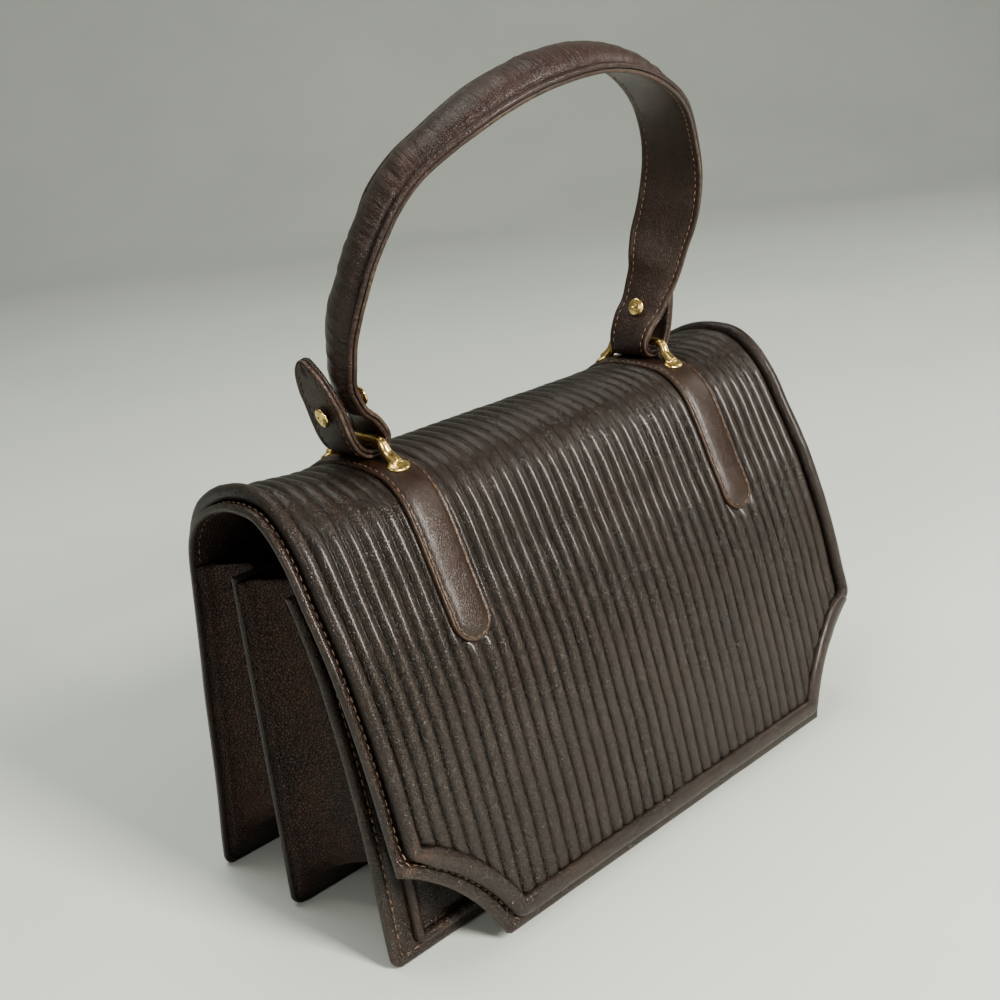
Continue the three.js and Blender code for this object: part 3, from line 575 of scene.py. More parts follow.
def make_ribbed():
    cols_x, rib, phase = [], [], []
    for k in range(-RIBS, RIBS + 1):
        for ph in PHASES:
            cols_x.append((k + ph) * PITCH)
            rib.append(k)
            phase.append(ph)
    cols_x.append((RIBS + 0.5) * PITCH)
    rib.append(RIBS)
    phase.append(0.5)
    edge = HALF_WIDTH - PLEAT_INSET
    cols_x = np.array([-edge - 0.9, -edge] + cols_x + [edge, edge + 0.9])
    rib = np.array([-RIBS, -RIBS] + rib + [RIBS, RIBS])
    phase = np.array([-0.5, -0.5] + phase + [0.5, 0.5])
    t = body_stations(cols_x, PLEAT_INSET, 2.9, np.array([0, 0.8, 1.8, 3.2, 5.0]), HEM_EXTRA)
    x = np.broadcast_to(cols_x, t.shape)
    s = s_of_t(t)
    z = np.interp(t, T_ALL, P_ALL[:, 1])
    front = t > 16
    drift = 0.45 * vnoise(np.stack([x * 0.16, s, s * 0], -1), 42, 5) + 0.2 * vnoise(np.stack([x, s, s * 0], -1), 13, 6)
    # ribs lean round the straps' tips
    for sx in (-STRAP_X, STRAP_X):
        gap = x - sx
        below = np.where(front, s - s_of_t(27.0), s_of_t(4.4) - s)
        pinch = np.exp(-(np.maximum(below - 3, 0) / 15) ** 2) * smooth((below + 10) / 10) * np.exp(-(gap / 12) ** 2)
        drift += pinch * 0.9 * np.tanh(gap / 5)
    inner = smooth((HALF_WIDTH - PLEAT_INSET - np.abs(x)) / 6)
    xs = x + drift * inner
    amp = np.interp(t, AMP_T, AMP_V)
    amp = amp * (1 + 0.14 * vnoise(np.stack([x * 0.7, s, s * 0], -1), 30, 8))
    amp = amp * RIB_GAIN[rib + RIBS][None, :]
    broad = 2 * (1 - np.abs(2 * phase) ** 2.3) ** 0.62 - 1
    full = 2 * (1 - np.abs(2 * phase) ** 1.9) ** 0.9 - 1
    lower = smooth((t - 25.5) / 4.5)
    shape = full[None, :] * (1 - lower) + broad[None, :] * lower
    h = 1.1 * amp * shape - 1.1 * (1 - amp) * 0.2
    h += 0.12 * fractal(np.stack([x, s, s * 0], -1), 9, 21) + 0.07 * vnoise(np.stack([x * 1.6, s, s * 0], -1), 3.4, 22)
    # flattened under the straps, tucked in along the border
    for sx in (-STRAP_X, STRAP_X):
        e = np.minimum(s - s_of_t(4.4), s_of_t(27.0) - s)
        r_in = STRAP_HALF - np.where(e < STRAP_HALF, np.hypot(xs - sx, STRAP_HALF - e), np.abs(xs - sx))
        under = smooth((r_in + 1.2) / 2.2)
        h = h * (1 - under) - 0.75 * under
    ins = np.minimum(hem_distance(x, t) - HEM_EXTRA, inset_of(x, t))
    tuck = 1 - smooth((ins - PLEAT_INSET + 1.0) / 2.6)
    h = h * (1 - tuck) - 1.6 * tuck
    crest = np.clip((shape - 0.35) / 0.65, 0, 1) * np.clip(amp, 0, 1)
    worn = crest * (0.35 + 0.65 * smooth((vnoise(np.stack([x, s, s * 0], -1), 26, 31) + 0.5))) * np.where(front, 1, 0.6)
    shoulder = np.exp(-((t - 19.4) / 1.4) ** 2)
    worn = np.clip(worn + 0.25 * shoulder, 0, 1)
    # painted shade: the rib grooves are darkened in the colour
    painted_crease_shade = 0.62 * np.clip((-shape - 0.35) / 0.65, 0, 1) * np.clip(amp * 1.1, 0, 1) * (1 - tuck)
    top = surf(xs, t, h)
    # coarse backing, joined round the border
    rows, cols = t.shape
    pick = np.array(sorted(set([0, 1, cols - 2, cols - 1] + list(range(2, cols - 2, 11)))))
    low = surf(x[:, pick], t[:, pick], -2.7)
    verts = np.concatenate([top.reshape(-1, 3), low.reshape(-1, 3)])
    o = np.arange(rows * cols).reshape(rows, cols)
    i = np.arange(rows * len(pick)).reshape(rows, len(pick)) + rows * cols
    quad = lambda a, b, c, d: np.stack([a, b, c, d], -1).reshape(-1, 4).tolist()
    faces = quad(o[:-1, :-1], o[1:, :-1], o[1:, 1:], o[:-1, 1:]) + quad(i[:-1, :-1], i[:-1, 1:], i[1:, 1:], i[1:, :-1])
    faces += quad(o[:-1, 0], i[:-1, 0], i[1:, 0], o[1:, 0]) + quad(o[:-1, -1], o[1:, -1], i[1:, -1], i[:-1, -1])
    for r in (0, rows - 1):
        for j in range(len(pick) - 1):
            for k in range(pick[j], pick[j + 1]):
                faces.append([o[r, k], o[r, k + 1], i[r, j]])
            faces.append([o[r, pick[j + 1]], i[r, j + 1], i[r, j]])
    pad = np.zeros(low.shape[0] * low.shape[1])
    return piece("ribbed_leather", verts, faces, "ribbed", ["pleats"],
                 {"wear": np.concatenate([worn.ravel(), pad]), "painted_crease_shade": np.concatenate([painted_crease_shade.ravel(), pad])})


def make_shell():
    side = HALF_WIDTH - EDGE_STEPS
    xs = np.concatenate([side, np.arange(111.0, 87.0, -1.2), np.arange(86.0, 0, -5.0)])
    xs = np.unique(np.round(np.concatenate([side, np.arange(112, 87, -1.3), np.linspace(86, 2, 18)]), 3))
    # an extra fine step through the notches
    extra = np.arange(88, HALF_WIDTH, 0.9)
    xs = np.unique(np.round(np.concatenate([xs, extra]), 2))
    keep = [xs[0]]
    for v in xs[1:]:
        if v - keep[-1] > 0.18:
            keep.append(v)
    keep[-1] = HALF_WIDTH
    xs = np.array(keep)
    xs = np.concatenate([-xs[::-1], xs])
    t = body_stations(xs, 0.0, 3.0, EDGE_STEPS)
    x = np.broadcast_to(xs, t.shape)
    d = inset_of(x, t)
    q = np.stack([x, s_of_t(t), t * 0], -1)
    side_top = np.interp(d, [0, 0.2, 0.6, 1.1, 1.7, 2.3, 2.8, 3.3, 3.8, 5, 9, 12],
                         [-4.0, -3.1, -2.62, -2.36, -2.34, -2.52, -2.85, -3.05, -3.15, -3.3, -3.5, -3.5])
    dh = hem_distance(x, t)
    hem_top = np.interp(dh, [0, 0.2, 0.6, 1.2, 2.4, 3.6, 4.4, 5.0, 5.6, 7, 11, 13],
                        [-3.4, -2.5, -2.0, -1.7, -1.5, -1.55, -1.8, -2.3, -2.6, -3.0, -3.4, -3.5])
    k = smooth((11.0 - dh) / 2.0)
    top = side_top * (1 - k) + hem_top * k
    top = np.minimum(top, np.interp(d, [0, 0.2, 0.6, 1.1, 1.6], [-3.8, -2.9, -2.3, -1.8, -1.0]))
    top = top + np.where((d > 0.3) & (d < 5), 0.10 * vnoise(q, 3.4, 41) + 0.14 * vnoise(q, 11, 42), 0)
    low = np.interp(d, [0, 0.3, 0.9, 2], [-4.7, -5.25, -5.4, -5.4])
    worn = np.interp(d, [0, 0.3, 0.9, 1.5, 2.2], [0.15, 0.8, 0.8, 0.3, 0.0]) * np.clip(0.5 + 0.8 * vnoise(q, 9, 43), 0, 1)
    # scuffed lower left corner of the flap
    corner = np.exp(-(((x + 123) / 5) ** 2 + ((np.interp(t, T_ALL, P_ALL[:, 1]) - 40) / 6) ** 2)) * (t > 26)
    worn = np.clip(0.7 * worn + 0.8 * corner, 0, 1)
    outer, inner = surf(x, t, top), surf(x, t, low)
    outer[..., 2] = np.maximum(outer[..., 2], FOOT)
    inner[..., 2] = np.maximum(inner[..., 2], FOOT)
    verts, faces = wall(outer, inner)
    ob = piece("shell_leather", verts, faces, "border", ["shell"],
               {"wear": np.concatenate([worn.ravel(), worn.ravel() * 0])})
    ob.data.materials.append(MATERIALS["inside"])
    n_cells = (t.shape[0] - 1) * (t.shape[1] - 1)
    idx = np.zeros(len(ob.data.polygons), np.int32)
    idx[n_cells:2 * n_cells] = 1
    ob.data.polygons.foreach_set("material_index", idx)
    return ob


def border_path(inset, radius, extra=0.0):
    """Closed border of the shell at the inset, as rounded (x, station) points."""
    side = HALF_WIDTH - inset
    r = NOTCH_R + inset + extra
    a0 = math.atan2(math.sqrt(r * r - (side - NOTCH_C[0]) ** 2), side - NOTCH_C[0])
    hem = FLAP_BOTTOM + inset + extra
    a1 = math.atan2(hem - NOTCH_C[1], -math.sqrt(r * r - (hem - NOTCH_C[1]) ** 2))
    a = np.linspace(a0, a1, 40)
    arc = np.stack([NOTCH_C[0] + r * np.cos(a), s_of_t(t_front(NOTCH_C[1] + r * np.sin(a)))], -1)
    half = np.vstack([[side, inset], arc])
    path = np.vstack([half, (half * [-1, 1])[::-1]])
    p = rounded(path, radius)
    return p[:, 0], t_of_s(p[:, 1])


def make_roll():
    x, t = border_path(ROLL_INSET, 1.6, HEM_EXTRA)
    p, n = surf(x, t, -0.15, True)
    both = resample(np.hstack([p, n]), 1.15)
    p, n = both[:, :3], unit(both[:, 3:])
    q = p
    # broader and flatter along the hem and notches
    low = smooth((-46 - q[:, 1]) / 3) * smooth((44 - q[:, 2] - 0.0 * q[:, 0]) / 5)
    height = 3.0 - 0.75 * low + 0.10 * vnoise(q, 7, 51) + 0.08 * vnoise(q, 2.6, 52)
    width = 2.5 + 0.95 * low + 0.10 * vnoise(q, 9, 53)
    verts, faces = sweep(p, n, width, height, 18, True, depth=2.8, ease=0.85)
    worn = np.clip(0.1 + 0.9 * vnoise(q, 18, 54), 0, 1)
    left = np.exp(-(((q[:, 0] + 119) / 5) ** 2 + ((q[:, 2] - 43) / 6) ** 2)) * (q[:, 1] < -40)
    worn = np.clip(worn * 0.35 + 1.3 * left + 0.3 * low * np.clip(0.2 + 1.2 * vnoise(q, 6, 55), 0, 1), 0, 1)
    a = np.linspace(0, 2 * np.pi, 18, endpoint=False)
    up = np.clip(np.cos(a), 0, 1)
    return piece("flap_piping", verts, faces, "border", ["shell_roll"],
                 {"wear": (worn[:, None] * up[None, :]).ravel()})


def make_flange_stitches():
    # a side run near the edge, a hem run at the roll's foot
    x, t = border_path(2.95, 1.2, 1.75)
    p, n = surf(x, t, 0.0, True)
    hem = smooth((9.0 - hem_distance(x, t)) / 2.0)
    p = p + n * (-2.72 + 1.0 * hem)[:, None]
    verts, faces = stitches(p, n, 3.1, 2.3, 0.55, 0.24, True, seed=7)
    return piece("flap_stitches", verts, faces, "thread_dark")


def make_inner_stitches():
    for name, side in (("left", -1), ("right", 1)):
        t = np.linspace(1.0, 26.0, 260)
        p, n = surf(np.full(260, side * (HALF_WIDTH - 3.1)), t, -5.36, True)
        verts, faces = stitches(p, -n, 3.3, 2.2, 0.5, 0.22, False, seed=21 + side)
        piece("inner_stitches_" + name, verts, faces, "thread_dark")


make_ribbed()
make_shell()
make_roll()
make_flange_stitches()
make_inner_stitches()


# --------------------------------------------------------------- walls inside
def plate_grid(half, top, radius, face, thick_profile, name, material, nodes, bottom_z=FOOT, rows=34, wear=None):
    edge = np.array([0, 0.2, 0.5, 0.9, 1.4, 2.0, 2.6, 3.2, 4.0, 5.2, 6.4, 7.4, 8.4, 9.4, 10.6, 12, 14])
    xs = np.concatenate([half - edge, np.linspace(half - 17, 0, 22)])
    xs = np.concatenate([-xs, xs[-2::-1]])
    k = np.clip(np.abs(xs) - (half - radius), 0, radius)
    foot = bottom_z + radius - np.sqrt(np.maximum(radius ** 2 - k ** 2, 0))
    zs = []
    for e in edge:
        zs.append(foot + e)
    for j in range(1, rows):
        zs.append((foot + edge[-1]) + (top - edge[-1] - foot - edge[-1]) * j / rows)
    for e in edge[::-1]:
        zs.append(np.full_like(xs, top - e))
    z = np.array(zs)
    x = np.broadcast_to(xs, z.shape)
    d = np.minimum(np.minimum(half - np.abs(x), z - bottom_z), top - z)
    corner = radius - np.hypot(np.abs(x) - (half - radius), z - bottom_z - radius)
    d = np.where((np.abs(x) > half - radius) & (z < bottom_z + radius), np.minimum(d, corner), d)
    d = np.maximum(d, 0)
    outer, inner = face(x, z, thick_profile(d, x, z, 0)), face(x, z, thick_profile(d, x, z, 1))
    verts, faces = wall(outer, inner)
    attr = None
    if wear is not None:
        w = wear(d, x, z)
        attr = {"wear": np.concatenate([w.ravel(), w.ravel()])}
    return piece(name, verts, faces, material, nodes, attr)


PANEL_ROLL_SIDE = 11.6
PANEL_ROLL_FOOT = 6.6


def panel_face(x, z, off):
    t = np.interp(z, PANEL[:, 1], np.arange(len(PANEL)))
    p = spline(PANEL, t)
    d = unit(spline(PANEL, np.minimum(t + 0.05, 9)) - spline(PANEL, np.maximum(t - 0.05, 0)))
    # close to a straight offset in y, which keeps the walls parallel
    return np.stack([x, p[..., 0] - off / np.maximum(d[..., 1], 0.8), z], -1)


def panel_profile(d, x, z, layer):
    q = np.stack([x, z, z * 0], -1)
    if layer:
        return np.interp(d, [0, 0.3, 0.9, 2], [-1.6, -2.3, -2.6, -2.6])
    h = np.interp(d, [0, 0.2, 0.6, 1.4, 2.6, 3.3, 3.9, 4.6, 5.4, 6.4, 8, 20],
                  [-1.0, -0.3, 0.1, 0.5, 0.6, 0.35, 0.0, 0.35, 0.55, 0.5, 0.3, 0.2])
    field = smooth((124 - np.abs(x) - PANEL_ROLL_SIDE - 0.5) / 2.0) * smooth((z - FOOT - PANEL_ROLL_FOOT - 0.5) / 2.0)
    h = h * (1 - field) - 0.7 * field
    return h + 0.1 * vnoise(q, 8, 61) * (d > 0.3)


plate_grid(124.0, 122.8, 4.0, panel_face, panel_profile, "front_wall", "border", ["front_panel"],
           wear=lambda d, x, z: np.interp(d, [0, 0.5, 1.4, 2.5], [0.3, 0.8, 0.3, 0]) * np.clip(0.4 + vnoise(np.stack([x, z, z * 0], -1), 8, 62), 0, 1))


def panel_loop(inset, low, radius, top_inset):
    half, top, low = 124 - inset, 122.8 - top_inset, FOOT + low
    p = rounded([[half, low], [half, top], [-half, top], [-half, low]], radius)
    return p[:, 0], p[:, 1]


x, z = panel_loop(PANEL_ROLL_SIDE, PANEL_ROLL_FOOT, 1.6, 6)
p = panel_face(x, z, 0.9)
n = unit(panel_face(x, z, 2.0) - panel_face(x, z, 0.0))
both = resample(np.hstack([p, n]), 1.2)
p, n = both[:, :3], unit(both[:, 3:])
verts, faces = sweep(p, n, 2.0 + 0.08 * vnoise(p, 8, 63), 2.2 + 0.1 * vnoise(p, 6, 64), 14, True, depth=1.2, ease=0.85)
piece("front_wall_piping", verts, faces, "border", ["front_roll"],
      {"wear": np.repeat(np.clip(0.2 + 0.5 * vnoise(p, 12, 65), 0, 1), 14)})
x, z = panel_loop(3.9, 3.9, 1.3, 3.4)
p, n = panel_face(x, z, 0.12), unit(panel_face(x, z, 2.0) - panel_face(x, z, 0.0))
verts, faces = stitches(p, n, 3.3, 2.5, 0.62, 0.26, True, seed=9)
piece("front_wall_stitches", verts, faces, "thread_dark")

DIVIDER_Y = 8.5
plate_grid(124.0, 123.0, 4.0, lambda x, z, off: np.stack([x, DIVIDER_Y - off, z], -1),
           lambda d, x, z, layer: (np.interp(d, [0, 0.3, 0.9, 2, 3.4, 4.0, 4.8, 8], [0.5, 1.1, 1.32, 1.3, 1.2, 1.08, 1.25, 1.3]) * (1 - 2 * layer)),
           "divider_wall", "panel", ["divider"])


# -------------------------------------------------------------------- gussets
def shell_inner_y(z):
    p, n = surf(np.zeros_like(z), t_back(np.maximum(z, FOOT)), 0.0, True)
    return p[..., 1] - n[..., 1] * 5.4


def panel_inner_y(z):
    return panel_face(np.zeros_like(z), np.clip(z, FOOT, 121), 0.0)[..., 1] + 2.6


def make_gusset(name, node, y_a, y_b, side_fold, bottom_fold, seed):
    half, base, top = 123.4, FOOT + 0.4, 121.0
    # outer path and valley path of the folded strip, in x and z
    r_out, r_in = 5.0, 8.0
    def loop(h, low, r):
        a = np.linspace(0, np.pi / 2, 12)
        down = np.stack([np.full(46, h), np.linspace(top, low + r, 46)], -1)
        bend = np.stack([h - r + r * np.cos(a), low + r - r * np.sin(a)], -1)[1:]
        flat = np.stack([np.linspace(h - r, 0, 30), np.full(30, low)], -1)[1:]
        right = np.vstack([down, bend, flat])
        return np.vstack([right, (right * [-1, 1])[-2::-1]])
    o = loop(half, base, r_out)
    v = loop(half - side_fold, bottom_fold, r_in)
    u = np.concatenate([np.linspace(0, 0.05, 3), np.linspace(0.09, 0.5, 12)[:-1]])
    u = np.concatenate([u, [0.5], 1 - u[::-1]])
    lean = u ** 1.35                            # the fold lies nearer the front wall of each pair
    w = np.minimum(u, 1 - u) * 2
    k = np.interp(w, [0, 0.03, 0.06, 0.1, 0.16, 0.3, 0.5, 0.75, 0.92, 1.0], [0, 0.14, 0.33, 0.46, 0.55, 0.68, 0.81, 0.93, 0.985, 1.0])
    rows = []
    for layer in (0, 1):
        inward = unit(v - o) * 1.6 * layer
        z_o = o[:, 1]
        a = y_a(z_o) + 0.15
        b = y_b(z_o) - 0.15
        a2, b2 = y_a(v[:, 1]) + 0.15, y_b(v[:, 1]) - 0.15
        if layer:
            a, b, a2, b2 = a + 0.1, b - 0.1, a2 + 0.1, b2 - 0.1
        kk = k[None, :, None]
        xz = o[:, None, :] * (1 - kk) + v[:, None, :] * kk + inward[:, None, :] * np.clip(k * 3, 0.25, 1)[None, :, None]
        ya = a[:, None] * (1 - k) + a2[:, None] * k
        yb = b[:, None] * (1 - k) + b2[:, None] * k
        y = ya * (1 - lean) + yb * lean
        rows.append(np.stack([xz[..., 0], y, xz[..., 1]], -1))
    mid = rows[0]
    # slack leather: soft folds near the top, fine dents elsewhere
    soft = k[None, :] * (1.0 + 1.3 * smooth((mid[..., 2] - 96) / 25))
    push = (0.7 * vnoise(mid * [1, 1.6, 0.7], 16, seed) + 0.35 * vnoise(mid * [1, 2.2, 0.9], 7, seed + 1)) * soft
    curl = smooth((mid[..., 2] - 108) / 13) * np.clip(np.interp(w, [0, 0.2, 0.6, 1.0], [0.15, 1.0, 0.6, 0.1]), 0, 1)[None, :]
    sx = np.sign(mid[..., 0])
    high = smooth((mid[..., 2] - 106) / 9) * np.clip(k, 0, 0.7)[None, :]
    gather = 0.75 * vnoise(mid * [0.5, 0.35, 1.0], 3.4, seed + 5) * high
    ragged = (0.9 * vnoise(mid * [1, 1, 0.1], 4.5, seed + 6) + 0.5 * vnoise(mid * [1, 1, 0.1], 1.9, seed + 7)) * smooth((mid[..., 2] - 117) / 3)
    for g_ in rows:
        g_[..., 0] += sx * (push * 0.9 + curl * 1.6 + gather)
        g_[..., 1] += push * 0.35
        g_[..., 2] += ragged * 0.8
    # turned top hem
    hem = np.interp(mid[..., 2], [116.6, 117.4, 118.6, 120.2, 121.5], [0, 0.0, 0.55, 0.6, 0.2]) * (np.abs(mid[..., 0]) > 100)
    rows[0][..., 0] += sx * hem
    verts, faces = wall(rows[0], rows[1])
    # painted shade: the fold's deep valley and the strip's outer edges are darkened in the colour
    shade = np.broadcast_to(0.8 * smooth((w - 0.45) / 0.55) + 0.25 * smooth((0.12 - w) / 0.12), mid.shape[:2])
    return piece(name, verts, faces, "gusset", [node], {"painted_crease_shade": np.concatenate([shade.ravel(), shade.ravel()])})


make_gusset("gusset_back_leather", "gusset_rear", lambda z: np.full_like(z, DIVIDER_Y + 1.3), shell_inner_y, 13.0, 19.0, 71)
make_gusset("gusset_front_leather", "gusset_front", panel_inner_y, lambda z: np.full_like(z, DIVIDER_Y - 1.3), 14.0, 15.5, 81)


# --------------------------------------------------------------------- straps
def make_strap(sign):
    h = STRAP_HALF
    s0, s1 = s_of_t(4.4), s_of_t(27.0)
    tip = np.array([0.0, 0.12, 0.4, 0.9, 1.5, 2.2, 3.2, 4.6, 6.2, 8.15])
    s = np.concatenate([s0 + tip, np.linspace(s0 + 11, s1 - 11, 74), s1 - tip[::-1]])
    ds = np.minimum(s - s0, s1 - s)
    w = np.where(ds < h, np.sqrt(np.maximum(h * h - (h - ds) ** 2, 0.02)), h)
    u = np.array([1, 0.98, 0.94, 0.875, 0.81, 0.74, 0.64, 0.5, 0.3, 0.1])
    u = np.concatenate([-u, u[::-1]])
    x = u[None, :] * w[:, None]
    S = np.broadcast_to(s[:, None], x.shape)
    d = np.where(ds[:, None] < h, h - np.hypot(x, h - ds[:, None]), h - np.abs(x))
    d = np.maximum(d, 0)
    q = np.stack([x, S, S * 0], -1)
    top = np.interp(d, [0, 0.12, 0.35, 0.8, 1.15, 1.5, 2.0, 2.8, 4.5, 8.15], [0.35, 1.05, 1.45, 1.55, 1.35, 1.1, 1.5, 2.0, 2.42, 2.6])
    top = top + 0.05 * vnoise(q, 9, 91) * (d > 0.2)
    low = np.interp(d, [0, 0.3, 1], [0.1, 0.0, 0.0])
    worn = np.clip(np.interp(d, [0, 0.3, 0.8, 1.2], [0.5, 1.0, 0.7, 0]) * np.clip(0.7 + 0.7 * vnoise(q, 12, 92), 0, 1), 0, 1)
    xx = x + sign * STRAP_X
    t = t_of_s(S)
    verts, faces = wall(surf(xx, t, top), surf(xx, t, low))
    name = "left" if sign < 0 else "right"
    piece("strap_leather_" + name, verts, faces, "strap", ["strap_" + name],
          {"wear": np.concatenate([worn.ravel(), worn.ravel() * 0])})
    path = np.array([[h - 1.5, s0 + h], [h - 1.5, s1 - h]])
    a = np.linspace(0, np.pi, 14)
    r = h - 1.5
    path = np.vstack([
        np.stack([np.full(60, r), np.linspace(s0 + h, s1 - h, 60)], -1),
        np.stack([r * np.cos(a), s1 - h + r * np.sin(a)], -1)[1:],
        np.stack([np.full(60, -r), np.linspace(s1 - h, s0 + h, 60)], -1)[1:],
        np.stack([-r * np.cos(a), s0 + h - r * np.sin(a)], -1)[1:-1],
    ])
    p, n = surf(path[:, 0] + sign * STRAP_X, t_of_s(path[:, 1]), 1.28, True)
    verts, faces = stitches(p, n, 2.9, 2.1, 0.5, 0.22, True, seed=12 + sign)
    piece("strap_stitches_" + name, verts, faces, "thread_dark")


make_strap(-1)
make_strap(1)


# --------------------------------------------------------------------- handle
def handle_sections():
    curve = HANDLE[:, :3]
    out = []
    for r in TAB:
        i = len(out)
        prev, nxt = TAB[max(i - 1, 0)], (TAB[i + 1] if i + 1 < len(TAB) else None)
        nx, nz = (nxt[0], nxt[1]) if nxt is not None else (HANDLE[0, 0], HANDLE[0, 2])
        t = unit(np.array([nx - prev[0], 0, nz - prev[1]]))
        out.append((np.array([r[0], r[2], r[1]]), np.array([r[0], r[3], r[1]]), unit(np.cross([0, 1, 0], t)), 0.0))
    for i, r in enumerate(HANDLE):
        if i == len(HANDLE) - 1:
            t = np.array([-1.0, 0, 0])
        elif i == 0:
            t = unit(curve[1] - curve[0])
        else:
            t = unit(curve[i + 1] - curve[i - 1])
        a = unit(np.array([0, 1.0, 0]) - t * t[1])
        b = np.cross(t, a)
        turn = math.radians(r[3])
        cross = unit(a * math.cos(turn) + b * math.sin(turn))
        out.append((r[:3].copy(), r[:3] + cross * r[4], unit(np.cross(cross, t)), r[5]))
    rows = np.array([np.concatenate([f, b, o, [p]]) for f, b, o, p in out])
    mirror = rows[-2::-1] * np.array([-1, 1, 1, -1, 1, 1, -1, 1, 1, 1])
    return np.vstack([rows, mirror])


SECTIONS = handle_sections()
N_TAB = len(TAB)


def handle_frames(t0, t1, step):
    """Evenly spaced front, back, out, padding rows along the handle."""
    dense = np.linspace(t0, t1, 2400)
    r = spline(SECTIONS, dense)
    mid = (r[:, :3] + r[:, 3:6]) / 2
    d = np.concatenate([[0], np.cumsum(np.linalg.norm(np.diff(mid, axis=0), axis=1))])
    n = int(d[-1] / step)
    at = np.interp(np.linspace(0, d[-1], n), d, dense)
    r = spline(SECTIONS, at)
    return r[:, :3], r[:, 3:6], unit(r[:, 6:9]), np.maximum(r[:, 9], 0), np.linspace(0, d[-1], n), at


def strap_layer(lo_v, hi_v, step, bulge=None):
    f, b, out, pad, s, at = handle_frames(0.0, len(SECTIONS) - 1.0, step)
    width = np.linalg.norm(b - f, axis=1)
    cross = unit(b - f)
    return f, b, out, pad, s, width, cross


def make_lining():
    f, b, out, pad, s, width, cross = strap_layer(-1.6, -0.1, 1.3)
    prof = [  # distance from the edge, height
        (0.0, -0.75), (0.06, -0.45), (0.3, -0.16), (0.9, -0.12),
    ]
    d = np.array([0.12, 0.0, 0.06, 0.35, 0.9, 1.6, 2.2, 2.9, 4.2, 6.5])
    v = np.array([-0.2, -0.6, -1.15, -1.5, -1.6, -1.5, -1.36, -1.52, -1.6, -1.62])
    loops = []
    q = (f + b) / 2
    for k in range(len(f)):
        w = width[k]
        dd = np.minimum(d, w * 0.5 * d / 6.5 + 0 * d) if w < 13 else d
        left = f[k] + cross[k] * dd[:, None] + out[k] * v[:, None]
        right = b[k] - cross[k] * dd[::-1, None] + out[k] * v[::-1, None]
        back_mid = (f[k] + b[k]) / 2 + out[k] * -0.15
        loops.append(np.vstack([left, right, back_mid[None]]))
    loops = np.array(loops)
    n = loops.shape[1]
    fine = 0.05 * vnoise(loops, 2.2, 101)
    loops = loops + out[:, None] * fine[..., None]
    verts, faces = tube(loops, False)
    w = np.zeros(n)
    w[:4] = [0.3, 0.7, 1.0, 0.5]
    w[-5:-1] = [0.5, 1.0, 0.7, 0.3]
    worn = w[None, :] * np.clip(0.55 + 0.9 * vnoise(q, 13, 102), 0, 1)[:, None]
    piece("handle_lining", verts, faces, "lining", ["handle_strap"], {"wear": worn.ravel()})
    # two rows of thread on the lining's face
    for name, edge in (("front", f + cross * 2.25), ("back", b - cross * 2.25)):
        p = edge + out * -1.42
        ok = width > 6
        p, o = p[ok], -out[ok]
        verts, faces = stitches(p, o, 3.0, 2.0, 0.42, 0.2, False, seed=14 if name == "front" else 15)
        piece("handle_stitches_" + name, verts, faces, "thread")


def make_cover():
    f, b, out, pad, s, width, cross = strap_layer(-0.1, 1.6, 0.85)
    total = s[-1]
    u_flange = np.array([0.0, 0.04, 0.3, 0.9, 1.7, 2.4, 2.9])
    v_flange = np.array([0.1, 0.9, 1.45, 1.62, 1.55, 1.3, 1.35])
    bu = np.array([0.0, 0.03, 0.09, 0.17, 0.27, 0.38, 0.5])
    bv = np.array([0.0, 0.24, 0.50, 0.73, 0.89, 0.975, 1.0])
    loops, wears = [], []
    mid = (f + b) / 2
    along = s
    for k in range(len(f)):
        w = width[k]
        grow = (pad[k] + 0.5 * min(pad[k] / 2.2, 1)) if pad[k] > 0.05 else 0.0
        scale = min(1.0, w / 14.0)
        fl = u_flange * scale
        core = w - 2 * fl[-1]
        lu = np.concatenate([fl, fl[-1] + bu[1:] * core])
        lv = np.concatenate([v_flange, 1.35 + (grow + 0.25) * bv[1:]])
        uu = np.concatenate([lu, w - lu[-2::-1]])
        vv = np.concatenate([lv, lv[-2::-1]])
        pts = f[k] + cross[k] * uu[:, None] + out[k] * vv[:, None]
        low = mid[k] + out[k] * 0.0
        loops.append(np.vstack([pts, low[None]]))
        crown = np.clip((vv - 1.6) / max(grow, 0.5), 0, 1)
        wears.append(np.concatenate([np.where(uu < 1.0, 0.5, 0) + np.where(uu > w - 1.0, 0.5, 0) + 0.35 * crown, [0]]))
    loops, wears = np.array(loops), np.array(wears)
    padk = np.clip(pad / 3.0, 0, 1)
    # cross wrinkles and soft lumps of the padding
    n = loops.shape[1]
    uu = np.linspace(0, 1, n - 1)
    bell = np.append(np.sin(np.pi * uu) ** 0.5, 0)
    bell = np.where(np.arange(n) < 6, 0, bell)
    bell[n - 7:] = 0
    q = np.stack([np.broadcast_to(along[:, None], loops.shape[:2]), np.broadcast_to(np.append(uu, 0) * 14, loops.shape[:2]), np.zeros(loops.shape[:2])], -1)
    skew = q * [1, 0.45, 1] + np.stack([0.35 * q[..., 1], q[..., 1] * 0, q[..., 1] * 0], -1)
    fine = 0.24 * vnoise(skew, 2.4, 111) + 0.13 * vnoise(skew * [1, 0.8, 1], 1.5, 112)
    lumps = 0.34 * vnoise(q, 15, 113) + 0.22 * vnoise(q, 7, 114)
    push = (fine * (0.35 + 0.65 * padk[:, None]) + lumps * padk[:, None]) * bell[None, :]
    loops = loops + out[:, None] * push[..., None]
    verts, faces = tube(loops, False)
    wears = wears * np.clip(0.45 + 0.9 * vnoise(q, 17, 115), 0, 1)
    ob = piece("handle_padding", verts, faces, "padded", ["handle_cover"],
               {"wear": wears.ravel(), "along": (q[..., 0] / 2.3 + q[..., 1] * 0.1).ravel(), "around": (q[..., 1] / 6.0).ravel()})


make_lining()
make_cover()


